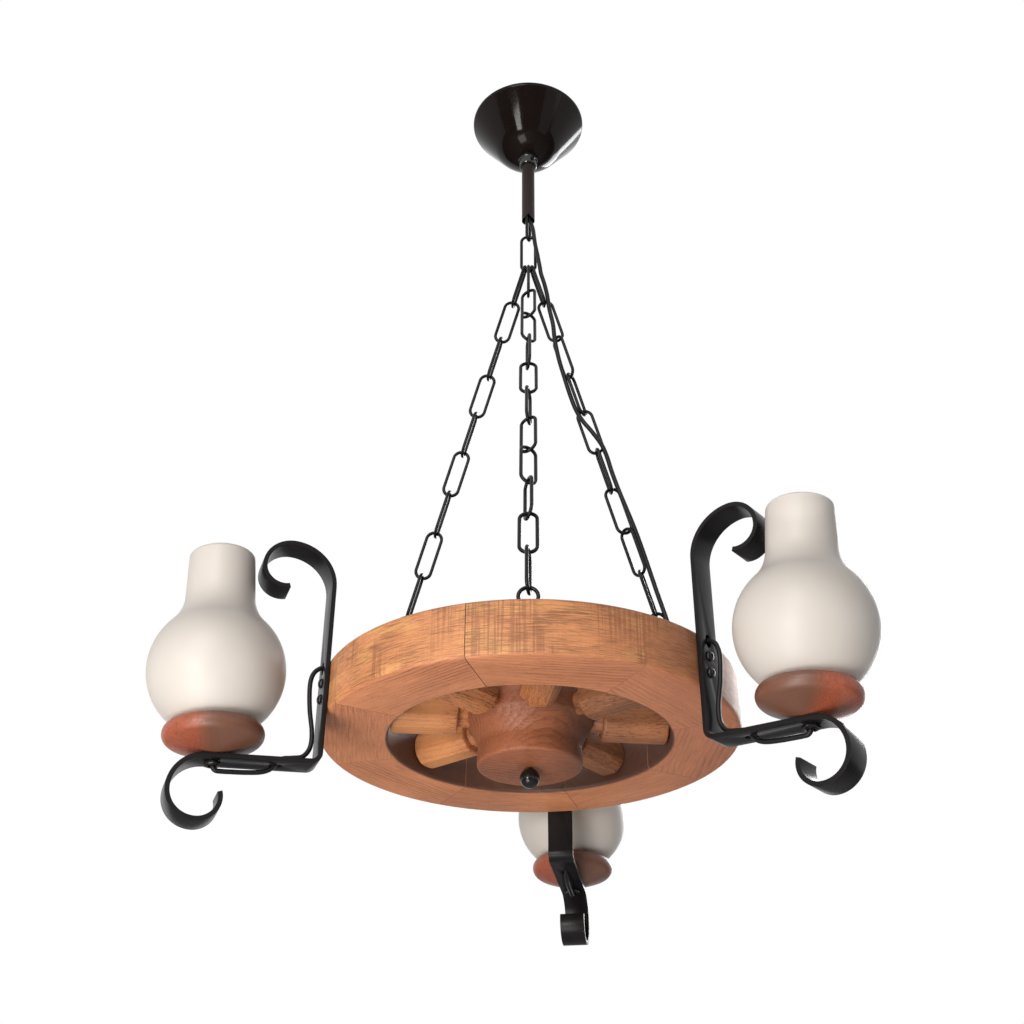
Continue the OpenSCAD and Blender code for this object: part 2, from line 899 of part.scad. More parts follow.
// a low bun: a small foot, a straight flare and a rounded edge under the flat top
module cup(a) {
    edge_x = cup_r - cup_edge;
    edge_z = 0.73 * cup_h;
    side = norm([edge_x - cup_foot_r, edge_z]);
    flare = atan2(edge_z, edge_x - cup_foot_r) - asin((cup_edge - blend) / side);
    flare_l = sqrt(side * side - pow(cup_edge - blend, 2));
    color(walnut)
        lamp_frame(a)
            translate([0, 0, lamp_seat])
                difference() {
                    rotate_extrude() {
                        intersection() {
                            translate([edge_x, edge_z])
                                circle(r = cup_edge);
                            square([cup_r + 1, cup_h]);
                        }
                        polygon([
                            [0, 0], [cup_foot_r, 0],
                            [cup_foot_r + flare_l * cos(flare), flare_l * sin(flare)],
                            [edge_x, edge_z], [edge_x, cup_h], [0, cup_h]
                        ]);
                    }
                    translate([0, 0, -1])
                        cylinder(d = tube_d + 0.2, h = cup_h + 2);
                }
}

module cup_far() {
    cup(far_a);
}

module cup_left() {
    cup(left_a);
}

module cup_right() {
    cup(right_a);
}

// threaded tubes with a nut under the leg
module lamp_tubes() {
    color("#b9b9bd")
        for (a = [far_a, left_a, right_a])
            lamp_frame(a)
                difference() {
                    union() {
                        translate([0, 0, tube_low])
                            cylinder(d = tube_d, h = tube_high - tube_low);
                        translate([0, 0, tube_low + 0.5])
                            cylinder(d = 15, h = tube_nut_h, $fn = 6);
                    }
                    translate([0, 0, tube_low - 1])
                        cylinder(d = tube_bore, h = tube_high - tube_low + 2);
                }
}

module holder(a) {
    color("#ece7dc")
        lamp_frame(a)
            translate([0, 0, cup_h + 2 * lamp_seat])
                difference() {
                    union() {
                        cylinder(d = holder_d, h = holder_h);
                        cylinder(d = holder_d + 6, h = 3);
                    }
                    translate([0, 0, holder_h - socket_depth])
                        cylinder(r = socket_r, h = socket_depth + 1);
                    translate([0, 0, -1])
                        cylinder(d = tube_d + 2 * screw_clear, h = 10.5);
                }
}

module holder_far() {
    holder(far_a);
}

module holder_left() {
    holder(left_a);
}

module holder_right() {
    holder(right_a);
}

module glass_fill(t, over) {
    joint = norm([neck_r + shoulder_c, shoulder_rise]);
    joint_x = (bulb_r - t) * (neck_r + shoulder_c) / joint;
    joint_z = bulb_z + (bulb_r - t) * shoulder_rise / joint - 3;
    taper = (neck_r - mouth_r) / (glass_h - neck_h);
    intersection() {
        translate([0, bulb_z])
            circle(r = bulb_r - t);
        translate([0, -over])
            square([bulb_r + 1, neck_h + over]);
    }
    difference() {
        translate([0, joint_z])
            square([joint_x, neck_h - joint_z]);
        translate([neck_r + shoulder_c - 1.5 * blend, neck_h])
            circle(r = shoulder_c + t);
    }
    polygon([
        [0, neck_h - 10], [neck_r - t + 10 * taper, neck_h - 10], [mouth_r - t, glass_h],
        [mouth_r - t, glass_h + over], [0, glass_h + over]
    ]);
}

module shade(a) {
    color(glass)
        lamp_frame(a)
            translate([0, 0, glass_base])
                rotate_extrude()
                    difference() {
                        glass_fill(0, 0);
                        glass_fill(glass_wall, 1);
                    }
}

module shade_far() {
    shade(far_a);
}

module shade_left() {
    shade(left_a);
}

module shade_right() {
    shade(right_a);
}

stem_link();
stem_sleeve();
supply_upper();
ceiling_connector();
canopy();
cord_grip();
grip_nut();
grip_screw();
gather_link();
supply_neck_upper();
supply_neck_lower();
chain_near();
chain_left();
chain_right();
eye_screws();
supply_cable();
wheel_connector();
rim_loom();
felloe_1();
felloe_2();
felloe_3();
felloe_4();
felloe_5();
felloe_6();
felloe_7();
felloe_8();
spoke_1();
spoke_2();
spoke_3();
spoke_4();
spoke_5();
spoke_6();
spoke_7();
spoke_8();
hub();
hub_knob();
arm_far();
arm_left();
arm_right();
arm_screws();
cup_far();
cup_left();
cup_right();
lamp_tubes();
holder_far();
holder_left();
holder_right();
arm_cable_far();
arm_cable_left();
arm_cable_right();
shade_far();
shade_left();
shade_right();
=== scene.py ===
import math

import bmesh
import bpy
from mathutils import Matrix, Vector


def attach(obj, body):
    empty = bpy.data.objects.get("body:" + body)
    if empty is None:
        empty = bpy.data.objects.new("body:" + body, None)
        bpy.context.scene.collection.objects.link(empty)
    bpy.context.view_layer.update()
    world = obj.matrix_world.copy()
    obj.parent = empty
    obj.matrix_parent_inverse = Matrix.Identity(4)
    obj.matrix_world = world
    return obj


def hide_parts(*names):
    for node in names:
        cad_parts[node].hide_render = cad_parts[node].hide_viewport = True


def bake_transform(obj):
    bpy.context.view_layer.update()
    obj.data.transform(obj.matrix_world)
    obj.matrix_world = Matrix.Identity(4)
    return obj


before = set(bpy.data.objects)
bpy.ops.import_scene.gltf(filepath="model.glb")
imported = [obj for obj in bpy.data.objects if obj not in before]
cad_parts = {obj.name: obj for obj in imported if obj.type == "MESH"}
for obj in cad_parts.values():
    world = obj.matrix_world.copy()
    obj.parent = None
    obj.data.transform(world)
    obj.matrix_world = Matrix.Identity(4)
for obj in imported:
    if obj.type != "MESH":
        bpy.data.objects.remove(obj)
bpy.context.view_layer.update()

# Wagon wheel chandelier: a pine wheel on three chains, three scrolled iron arms,
# three turned cups and three frosted chimneys. Sizes below are in millimetres and
# MM turns them into metres. The frame is the CAD's: +Z up, the ceiling hook at the origin.
MM = 0.001

# ---------------------------------------------------------------- sizes shared with the part
wheel_r = 190.0
rim_inner_r = 128.0
rim_thick = 50.0
rim_round = 4.0
felloe_turn = 38.6
felloe_count = 8
sector = 360 / felloe_count
felloe_joint = 0.06
spoke_d = 37.0
spoke_flats = 34.0
spoke_shoulder = 66.0
tenon_d = 22.0
tenon_depth = 15.0
tenon_clear = 0.05
tenon_end_gap = 0.2
hub_r = 58.0
drum_r = 47.5
drum_drop = 48.0
knob_d = 18.0
knob_stud_len = 15.0
wire_d = 3.4
link_w = 19.0
link_pitch = 47.8
link_count = 11
link_gap = 0.4
strand_side = 4.4
eye_circle_r = 170.0
eye_d = 20.0
eye_rise = 1.0
screw_clear = 0.05
stem_len = 144.0
canopy_r = 66.0
canopy_depth = 58.0
canopy_wall = 1.2
ceiling_z = 40.0
canopy_lip = 3.0
canopy_slope = 36.0
canopy_dish = 13.0
arm_w = 25.0
arm_t = 4.0
arm_seat = 0.3
upright_top = 94.0
upright_bottom = 64.0
foot_bend_r = 8.0
leg_droop = 4.0
leg_len = 86.5
upper_scroll = [38.0, 26.0, 18.5]
lower_scroll = [29.5, 24.0, 18.5]
lamp_on_leg = 80.0
cup_r = 42.3
cup_h = 26.0
cup_edge = 8.5
cup_foot_r = 11.0
foot_r = 30.0
bulb_r = 58.5
neck_r = 30.0
mouth_r = 28.8
neck_h = 121.5
glass_h = 161.0
glass_wall = 3.0
holder_h = 43.0
socket_depth = 30.0
lamp_seat = 0.3
tube_d = 10.0
tube_bore = 7.0
supply_d = 4.8
arm_cable_d = 4.2
groove = 10.0
groove_r = 150.0
cable_hole_d = 7.0
screw_d = 4.6
screw_z = [4.0, -11.0]
slot_z = 19.0
fit_gap = 0.1
merge_gap = 0.002
curve_steps = 6

arm_angle = {"far": 90.0, "left": 210.0, "right": 330.0}
eye_angle = {"left": 162.0, "near": 279.0, "right": 33.0}
gather_a = 9.3
stem_a = 77.3


def polar(r, a, z):
    return Vector((r * math.cos(math.radians(a)), r * math.sin(math.radians(a)), z))


def turned_z(p, a):
    return Matrix.Rotation(math.radians(a), 3, "Z") @ Vector(p)


def turned_y(p, a):
    return Matrix.Rotation(math.radians(a), 3, "Y") @ Vector(p)


def turning(a, axis="Z"):
    """The turn of a whole mesh by a degrees."""
    return Matrix.Rotation(math.radians(a), 4, axis)


def moving(x, y, z):
    """The move of a whole mesh by so many millimetres."""
    return Matrix.Translation(Vector((x, y, z)) * MM)


# where the chain hangs and how high the wheel is, as in the part
link_rho = (link_w - wire_d) / 2
link_in = link_pitch + link_gap
stem_pin_z = -(stem_len + link_gap / 2) - wire_d / 2
gather_z = stem_pin_z + wire_d / 2 + link_gap
gather_pin_z = gather_z - link_in - wire_d / 2
near_len = link_count * link_pitch - wire_d - link_gap
eye_z = gather_pin_z - math.sqrt(near_len ** 2 - eye_circle_r ** 2) - (eye_d - wire_d) / 2
top_z = eye_z - eye_rise - eye_d / 2
wheel_z = top_z - rim_thick / 2
side_rise = link_rho - math.sqrt(link_rho ** 2 - strand_side ** 2)
right_from = polar(strand_side, gather_a, gather_pin_z + side_rise)
right_eye = polar(eye_circle_r, eye_angle["right"], eye_z)
right_to = right_eye + (eye_d - wire_d) / 2 * (right_from - right_eye).normalized()
right_v = right_to - right_from
right_az = math.degrees(math.atan2(right_v.y, right_v.x))
right_tilt = math.degrees(math.acos(-right_v.z / right_v.length))

arm_mid = wheel_r + arm_seat + arm_t / 2
leg_x = foot_bend_r * (1 - math.sin(math.radians(leg_droop)))
leg_z = -upright_bottom - foot_bend_r * math.cos(math.radians(leg_droop))
to_wheel = Matrix.Translation((0, 0, wheel_z * MM))


def by_right(q):
    """A point beside the right strand: to its right, in front of it and down it."""
    q = turned_z((q[0], -q[1], -q[2]), gather_a - right_az)
    return right_from + turned_z(turned_y(q, -right_tilt), right_az)


def on_leg(q):
    """A point on an arm's leg: along it from the foot bend, and over its middle."""
    return Vector((arm_mid + leg_x, 0, wheel_z + leg_z)) + turned_y((q[0], 0, q[1]), leg_droop)


def lamp_place(a):
    """Where a lamp stands on the leg of the arm at angle a, in metres."""
    foot = turning(a) @ moving(arm_mid + leg_x, 0, wheel_z + leg_z) @ turning(leg_droop, "Y")
    return foot @ moving(lamp_on_leg, 0, arm_t / 2)


# ---------------------------------------------------------------- camera
def set_camera():
    yaw, pitch, roll = (math.radians(v) for v in (-10.14, 31.43, 0.29))
    level_part = math.cos(pitch)
    ahead = Vector((math.sin(yaw) * level_part, math.cos(yaw) * level_part, math.sin(pitch)))
    level = Vector((math.cos(yaw), -math.sin(yaw), 0))
    upward = level.cross(ahead)
    side = math.cos(roll) * level + math.sin(roll) * upward
    top = math.cos(roll) * upward - math.sin(roll) * level
    bpy.ops.object.camera_add(location=(0.1840, -1.1259, -1.2077))
    camera = bpy.context.object
    camera.name = "camera"
    facing = Matrix((side, top, -ahead)).transposed().to_4x4()
    camera.matrix_world = Matrix.Translation(camera.location) @ facing
    camera.data.lens = 46.99
    camera.data.sensor_width = 36
    camera.data.clip_start = 0.01
    camera.data.clip_end = 50
    bpy.context.scene.camera = camera


set_camera()


# ---------------------------------------------------------------- nodes of materials
NUMBER, COLOUR, VECTOR = "NodeSocketFloat", "NodeSocketColor", "NodeSocketVector"


class Bench:
    """Sets out the nodes of one material or node group and joins them."""

    def __init__(self, tree):
        self.tree = tree

    def add(self, kind, inputs=None, **settings):
        node = self.tree.nodes.new(kind)
        for key, value in settings.items():
            setattr(node, key, value)
        for key, value in (inputs or {}).items():
            self.feed(node.inputs[key], value)
        return node

    def feed(self, socket, value):
        """Join a socket to another, or give it a value; a colour is written as red, green, blue."""
        if isinstance(value, bpy.types.NodeSocket):
            self.tree.links.new(value, socket)
        elif socket.type == "RGBA":
            socket.default_value = (*value, 1.0)
        else:
            socket.default_value = value

    def group(self, tree, inputs):
        return self.add("ShaderNodeGroup", inputs, node_tree=tree).outputs

    def math(self, operation, a, b=0.0, c=0.0, clamp=False):
        node = self.add("ShaderNodeMath", {0: a, 1: b, 2: c}, operation=operation, use_clamp=clamp)
        return node.outputs[0]

    def times(self, a, b):
        return self.math("MULTIPLY", a, b)

    def vectors(self, operation, *values):
        node = self.add("ShaderNodeVectorMath", dict(enumerate(values)), operation=operation)
        return node.outputs["Value" if operation == "LENGTH" else "Vector"]

    def along(self, axis, vector):
        return self.add("ShaderNodeSeparateXYZ", {"Vector": vector}).outputs[axis]

    def from_axis(self, place):
        """How far a place is from the Z axis."""
        return self.vectors("LENGTH", self.vectors("MULTIPLY", place, (1.0, 1.0, 0.0)))

    def noise(self, vector, scale=1.0, detail=2.0, roughness=0.5):
        """Noise of one scale, or of a scale for each axis."""
        if isinstance(scale, tuple):
            vector, scale = self.vectors("MULTIPLY", vector, scale), 1.0
        inputs = {"Vector": vector, "Scale": scale, "Detail": detail, "Roughness": roughness}
        return self.add("ShaderNodeTexNoise", inputs).outputs["Fac"]

    def step(self, value, low, high, to_low=0.0, to_high=1.0):
        node = self.add(
            "ShaderNodeMapRange",
            {"Value": value, "From Min": low, "From Max": high, "To Min": to_low, "To Max": to_high},
            interpolation_type="SMOOTHSTEP",
        )
        return node.outputs["Result"]

    def specks(self, vector, scale, low, high, detail=1.0):
        """Patches where noise rises from a low level over a high one."""
        return self.step(self.noise(vector, scale, detail), low, high)

    def mix(self, factor, a, b):
        node = self.add("ShaderNodeMix", data_type="RGBA", clamp_factor=True)
        for place, value in ((0, factor), (6, a), (7, b)):
            self.feed(node.inputs[place], value)
        return node.outputs[2]

    def layered(self, colour, *layers):
        """Stains laid over a colour one by one: where each lies, how much it covers, its colour."""
        for where, cover, stain in layers:
            colour = self.mix(self.times(where, cover), colour, stain)
        return colour


def new_group(name, takes, gives):
    """A node group with named inputs and outputs: its bench, its inputs and its outputs' sockets."""
    tree = bpy.data.node_groups.new(name, "ShaderNodeTree")
    for way, sockets in (("INPUT", takes), ("OUTPUT", gives)):
        for label, kind in sockets.items():
            tree.interface.new_socket(name=label, in_out=way, socket_type=kind)
    bench = Bench(tree)
    return bench, bench.add("NodeGroupInput").outputs, bench.add("NodeGroupOutput").inputs


def new_finish(name):
    """A material with its bench and its surface shader."""
    finish = bpy.data.materials.new(name)
    finish.use_nodes = True
    tree = finish.node_tree
    tree.nodes.clear()
    bench = Bench(tree)
    shader = bench.add("ShaderNodeBsdfPrincipled")
    bench.add("ShaderNodeOutputMaterial", {"Surface": shader.outputs["BSDF"]})
    return finish, bench, shader


def lay_on(bench, shader, colour, roughness):
    bench.feed(shader.inputs["Base Color"], colour)
    bench.feed(shader.inputs["Roughness"], roughness)


def raise_surface(bench, shader, height, strength, distance):
    bump = bench.add("ShaderNodeBump", {"Strength": strength, "Distance": distance, "Height": height})
    bench.feed(shader.inputs["Normal"], bump.outputs["Normal"])


def object_place(bench):
    return bench.add("ShaderNodeTexCoord").outputs["Object"]


def grain_place(bench):
    """Where a point lay in its own board: along the grain, across it and through it."""
    mark = bench.add("ShaderNodeAttribute", attribute_type="GEOMETRY", attribute_name="grain")
    return mark.outputs["Vector"]


def wood_grain():
    """Year rings, fibres, pores and blotches, from where a point lay in its board."""
    bench, takes, gives = new_group(
        "wood_grain",
        {"Grain": VECTOR, "Light wood": COLOUR, "Dark wood": COLOUR, "Ring width": NUMBER,
         "Figure": NUMBER, "Fibre": NUMBER, "Pores": NUMBER, "Blotch": NUMBER},
        {"Color": COLOUR, "Roughness": NUMBER, "Height": NUMBER},
    )
    grain = takes["Grain"]
    across = bench.vectors("MULTIPLY", grain, (0.0, 1.0, 1.0))
    from_heart = bench.vectors("LENGTH", bench.vectors("ADD", across, (0.0, 0.035, 0.06)))
    wander = bench.noise(grain, (3.0, 12.0, 12.0), detail=3.0)
    from_heart = bench.math("MULTIPLY_ADD", wander, 0.035, from_heart)
    ring = bench.math("FRACT", bench.math("DIVIDE", from_heart, takes["Ring width"]))
    faint = bench.specks(grain, (7.0, 30.0, 30.0), 0.36, 0.66, detail=2.0)
    late = bench.times(bench.math("POWER", ring, 3.2), faint)
    fibre = bench.noise(grain, (38.0, 620.0, 620.0), detail=2.5, roughness=0.65)
    pores = bench.specks(grain, (210.0, 1250.0, 1250.0), 0.56, 0.68)
    blotch = bench.noise(grain, (9.0, 16.0, 16.0))
    depth = bench.times(late, takes["Figure"])
    uneven = bench.math("SUBTRACT", fibre, 0.5)
    stained = bench.math("SUBTRACT", blotch, 0.5)
    for mark, label in ((uneven, "Fibre"), (pores, "Pores"), (stained, "Blotch")):
        depth = bench.math("ADD", depth, bench.times(mark, takes[label]))
    depth = bench.math("ADD", depth, 0.22, clamp=True)
    height = bench.math("SUBTRACT", bench.times(fibre, 0.7), bench.times(pores, 0.5))
    bench.feed(gives["Color"], bench.mix(depth, takes["Light wood"], takes["Dark wood"]))
    bench.feed(gives["Roughness"], bench.math("MULTIPLY_ADD", fibre, 0.22, 0.42))
    bench.feed(gives["Height"], bench.math("SUBTRACT", height, bench.times(late, 0.25)))
    return bench.tree


def saw_marks():
    """Cut pores and patches of upright saw marks on the round outer side of a felloe."""
    bench, takes, gives = new_group(
        "saw_marks",
        {"Grain": VECTOR, "Place": VECTOR, "Radius": NUMBER},
        {"Side": NUMBER, "Marks": NUMBER, "Pores": NUMBER, "Height": NUMBER},
    )
    grain = takes["Grain"]
    over_rim = bench.math("SUBTRACT", bench.from_axis(takes["Place"]), takes["Radius"])
    side = bench.step(over_rim, -0.0022, -0.0003)
    lines = bench.specks(grain, (520.0, 12.0, 12.0), 0.44, 0.60)
    cross = bench.specks(grain, (30.0, 30.0, 640.0), 0.44, 0.60)
    patch = bench.specks(grain, (21.0, 6.0, 11.0), 0.50, 0.60)
    marks = bench.math("MULTIPLY_ADD", cross, 0.45, lines)
    marks = bench.times(marks, bench.math("MULTIPLY_ADD", patch, 0.85, 0.10))
    marks = bench.math("MULTIPLY", marks, side, clamp=True)
    dashes = bench.noise(grain, (60.0, 60.0, 1250.0), detail=3.0, roughness=0.7)
    bare = bench.noise(grain, (18.0, 30.0, 40.0))
    pores = bench.step(bench.math("MULTIPLY_ADD", bare, 0.4, dashes), 0.62, 0.90)
    pores = bench.times(pores, side)
    deep = bench.math("ADD", bench.times(marks, 0.6), pores)
    bench.feed(gives["Side"], side)
    bench.feed(gives["Marks"], marks)
    bench.feed(gives["Pores"], pores)
    bench.feed(gives["Height"], bench.times(deep, -1.0))
    return bench.tree


def handling():
    """Fine dust and rubbed patches on painted metal."""
    bench, takes, gives = new_group(
        "handling",
        {"Place": VECTOR, "Size": NUMBER},
        {"Patch": NUMBER, "Speckle": NUMBER, "Height": NUMBER},
    )
    sized = bench.add("ShaderNodeVectorMath", {0: takes["Place"], 3: takes["Size"]}, operation="SCALE")
    place = sized.outputs["Vector"]
    bench.feed(gives["Patch"], bench.noise(place, 0.12, detail=3.0, roughness=0.6))
    bench.feed(gives["Speckle"], bench.specks(place, 2.6, 0.60, 0.74))
    bench.feed(gives["Height"], bench.noise(place, 0.6))
    return bench.tree


grain_group = wood_grain()
saw_group = saw_marks()
handling_group = handling()


def grain_nodes(bench, light, dark, ring, figure, fibre, pores, blotch):
    return bench.group(grain_group, {
        "Grain": grain_place(bench), "Light wood": light, "Dark wood": dark, "Ring width": ring,
        "Figure": figure, "Fibre": fibre, "Pores": pores, "Blotch": blotch,
    })


def painted_metal(name, colour, roughness, spread, size, bump, sheen):
    """Black paint on iron: a little uneven in gloss, with specks of dust."""
    finish, bench, shader = new_finish(name)
    wear = bench.group(handling_group, {"Place": object_place(bench), "Size": size})
    lifted = tuple(c * 1.8 + 0.002 for c in colour)
    uneven = bench.math("SUBTRACT", wear["Patch"], 0.5)
    gloss = bench.math("MULTIPLY_ADD", uneven, spread, roughness)
    gloss = bench.math("MULTIPLY_ADD", wear["Speckle"], 0.18, gloss, clamp=True)
    lay_on(bench, shader, bench.mix(wear["Patch"], colour, lifted), gloss)
    shader.inputs["Specular IOR Level"].default_value = sheen
    raise_surface(bench, shader, wear["Height"], bump, 0.0004)
    return finish


def felloe_wood():
    """Stained pine with a rubbed golden outer side, cut pores and saw marks; painted shade darkens the inner
    wall and the wheel's right side.
    """
    finish, bench, shader = new_finish("stained_pine_felloe")
    wood = grain_nodes(
        bench, (0.680, 0.265, 0.120), (0.220, 0.068, 0.030),
        ring=0.0046, figure=0.70, fibre=1.10, pores=0.25, blotch=0.85)
    place, grain = object_place(bench), grain_place(bench)
    saw = bench.group(saw_group, {"Grain": grain, "Place": place, "Radius": wheel_r * MM})
    wear_and_painted_light = bench.times(bench.specks(grain, (24.0, 24.0, 60.0), 0.48, 0.66, detail=3.0), saw["Side"])
    # painted shade: felloes towards the wheel's right side (+X) are darkened, away from the light
    right = bench.math("MULTIPLY_ADD", bench.noise(place, 22.0), 0.05, bench.along("X", place))
    # painted shade: the rim's inner wall is darkened almost to black, where shade falls inside the wheel
    painted_shade_inner_wall = [(rim_inner_r + depth) * MM for depth in (1.0, 3.5)]
    colour = bench.layered(
        wood["Color"],
        (saw["Side"], 0.60, (0.690, 0.300, 0.120)),
        (wear_and_painted_light, 0.45, (0.740, 0.400, 0.140)),
        (bench.step(right, 0.070, 0.190), 0.45, (0.300, 0.098, 0.056)),
        (saw["Marks"], 0.50, (0.180, 0.066, 0.026)),
        (saw["Pores"], 0.80, (0.190, 0.072, 0.028)),
        (bench.step(bench.from_axis(place), *painted_shade_inner_wall, 1.0, 0.0), 0.93, (0.045, 0.018, 0.012)),
    )
    lay_on(bench, shader, colour, wood["Roughness"])
    height = bench.math("MULTIPLY_ADD", saw["Height"], 0.8, wood["Height"])
    raise_surface(bench, shader, height, 0.35, 0.0006)
    return finish


def turned_pine(name, light, dark, bump, wear_and_painted_light, painted_side_shade, **figure):
    """Turned and stained, with painted light making one side of the wheel paler and painted shade making the
    other side darker.
    """
    finish, bench, shader = new_finish(name)
    wood = grain_nodes(bench, light, dark, **figure)
    across = bench.along("X", object_place(bench))
    colour = bench.layered(
        wood["Color"],
        # painted light: paler golden towards -X, the wheel's left side
        (bench.step(across, -0.055, -0.085), wear_and_painted_light, (0.780, 0.330, 0.120)),
        # painted shade: darker towards +X, the wheel's right side
        (bench.step(across, 0.012, 0.060), painted_side_shade, (0.060, 0.028, 0.018)),
    )
    lay_on(bench, shader, colour, wood["Roughness"])
    raise_surface(bench, shader, wood["Height"], bump, 0.0006)
    return finish


def glue_line(name, dark, light):
    finish, bench, shader = new_finish(name)
    smudge = bench.noise(object_place(bench), 160.0)
    lay_on(bench, shader, bench.mix(smudge, dark, light), bench.math("MULTIPLY_ADD", smudge, 0.2, 0.6))
    return finish


def cup_wood():
    """Walnut stain over beech: one half brushed browner than the other, waxed."""
    finish, bench, shader = new_finish("walnut_cup")
    wood = grain_nodes(
        bench, (0.400, 0.098, 0.045), (0.115, 0.035, 0.022),
        ring=0.0042, figure=0.35, fibre=1.1, pores=0.45, blotch=0.6)
    grain = grain_place(bench)
    smoky = bench.noise(grain, (12.0, 26.0, 26.0), detail=1.0)
    side = bench.math("MULTIPLY_ADD", smoky, 0.03, bench.along("Z", grain))
    smoked = bench.mix(wood["Roughness"], (0.070, 0.034, 0.022), (0.170, 0.082, 0.050))
    colour = bench.layered(wood["Color"], (bench.step(side, 0.004, 0.026), 0.82, smoked))
    lay_on(bench, shader, colour, bench.math("SUBTRACT", wood["Roughness"], 0.12))
    raise_surface(bench, shader, wood["Height"], 0.18, 0.0004)
    return finish


def frosted_glass():
    finish, bench, shader = new_finish("frosted_glass")
    place = object_place(bench)
    cloud = bench.noise(place, 14.0)
    etch = bench.noise(place, 2600.0, detail=1.0)
    colour = bench.mix(cloud, (0.715, 0.665, 0.615), (0.765, 0.715, 0.665))
    lay_on(bench, shader, colour, bench.math("MULTIPLY_ADD", etch, 0.12, 0.36))
    shader.inputs["Transmission Weight"].default_value = 0.22
    shader.inputs["IOR"].default_value = 1.5
    shader.inputs["Specular IOR Level"].default_value = 0.4
    raise_surface(bench, shader, etch, 0.08, 0.0002)
    return finish


def plain_part(name, colour, roughness, scale, metallic=0.0, bump=0.05, sheen=0.5):
    """Moulded or plated small parts: slight clouding and a fine texture."""
    finish, bench, shader = new_finish(name)
    cloud = bench.noise(object_place(bench), scale, detail=3.0)
    darker = tuple(c * 0.72 for c in colour)
    gloss = bench.math("MULTIPLY_ADD", cloud, 0.08, roughness)
    lay_on(bench, shader, bench.mix(cloud, darker, colour), gloss)
    shader.inputs["Metallic"].default_value = metallic
    shader.inputs["Specular IOR Level"].default_value = sheen
    raise_surface(bench, shader, cloud, bump, 0.0003)
    return finish


chain_paint = painted_metal("black_wire", (0.0045, 0.0042, 0.0044), 0.22, 0.10, 420.0, 0.05, sheen=0.18)
iron_paint = painted_metal("black_iron", (0.0060, 0.0052, 0.0056), 0.30, 0.14, 420.0, 0.12, sheen=0.14)
canopy_gloss = painted_metal("black_gloss", (0.0060, 0.0036, 0.0030), 0.10, 0.05, 240.0, 0.03, sheen=0.12)
knob_gloss = painted_metal("knob_gloss", (0.0060, 0.0054, 0.0054), 0.12, 0.05, 400.0, 0.04, sheen=0.30)
grip_nylon = painted_metal("black_nylon", (0.0080, 0.0074, 0.0070), 0.16, 0.06, 400.0, 0.04, sheen=0.6)
sleeve_skin = plain_part("brown_sleeve", (0.022, 0.0145, 0.0130), 0.40, 420.0, bump=0.15, sheen=0.16)
cable_skin = plain_part("black_sheath", (0.0100, 0.0090, 0.0095), 0.32, 700.0, sheen=0.22)
connector_nylon = plain_part("connector_plastic", (0.66, 0.63, 0.56), 0.42, 300.0)
porcelain = plain_part("porcelain", (0.78, 0.76, 0.71), 0.18, 120.0)
brass = plain_part("brass_shell", (0.55, 0.38, 0.14), 0.30, 400.0, metallic=1.0)
pine_rim = felloe_wood()
pine_joint = glue_line("tight_joint", (0.240, 0.088, 0.042), (0.380, 0.150, 0.072))
pine_seam = glue_line("open_joint", (0.040, 0.016, 0.009), (0.100, 0.040, 0.020))
# The spokes take painted light on the wheel's left side; the spokes and the hub take painted shade on its
# right side.
pine_spoke = turned_pine(
    "stained_pine_spoke", (0.560, 0.205, 0.074), (0.110, 0.036, 0.016), bump=0.45, wear_and_painted_light=0.50, painted_side_shade=0.40,
    ring=0.0042, figure=0.50, fibre=1.1, pores=0.60, blotch=1.1)
pine_hub = turned_pine(
    "stained_pine_hub", (0.375, 0.118, 0.047), (0.100, 0.030, 0.014), bump=0.50, wear_and_painted_light=0.0, painted_side_shade=0.70,
    ring=0.0050, figure=0.60, fibre=1.1, pores=0.25, blotch=0.8)
walnut = cup_wood()
glass = frosted_glass()


# ---------------------------------------------------------------- making and placing pieces
def put_down():
    """Nothing selected and nothing in edit mode, so that an operator acts on the next piece alone."""
    if bpy.context.object and bpy.context.object.mode != "OBJECT":
        bpy.ops.object.mode_set(mode="OBJECT")
    bpy.ops.object.select_all(action="DESELECT")


def pick(*pieces):
    put_down()
    for piece in pieces:
        piece.select_set(True)
    bpy.context.view_layer.objects.active = pieces[0]


def edit(piece, kind="VERT"):
    pick(piece)
    bpy.ops.object.mode_set(mode="EDIT")
    bpy.ops.mesh.select_mode(type=kind)
    bpy.ops.mesh.select_all(action="DESELECT")
    return bmesh.from_edit_mesh(piece.data)


def close_up(piece):
    """Merge what lies together and turn every face outwards."""
    edit(piece)
    bpy.ops.mesh.select_all(action="SELECT")
    bpy.ops.mesh.remove_doubles(threshold=merge_gap * MM)
    bpy.ops.mesh.normals_make_consistent(inside=False)
    bpy.ops.object.mode_set(mode="OBJECT")


def smooth(piece, angle=35.0):
    pick(piece)
    bpy.ops.object.shade_smooth_by_angle(angle=math.radians(angle))


def drawn_line(name, points):
    """Draw a line point by point, by pulling a corner on from each point to the next."""
    put_down()
    bpy.ops.mesh.primitive_plane_add(size=MM)
    piece = bpy.context.object
    piece.name = piece.data.name = name
    bpy.ops.object.mode_set(mode="EDIT")
    bpy.ops.mesh.select_mode(type="VERT")
    bpy.ops.mesh.select_all(action="SELECT")
    bpy.ops.mesh.merge(type="CENTER")
    bpy.ops.transform.translate(value=Vector(points[0]) * MM)
    for start, end in zip(points, points[1:]):
        pull = (Vector(end) - Vector(start)) * MM
        bpy.ops.mesh.extrude_region_move(TRANSFORM_OT_translate={"value": pull})
    return piece


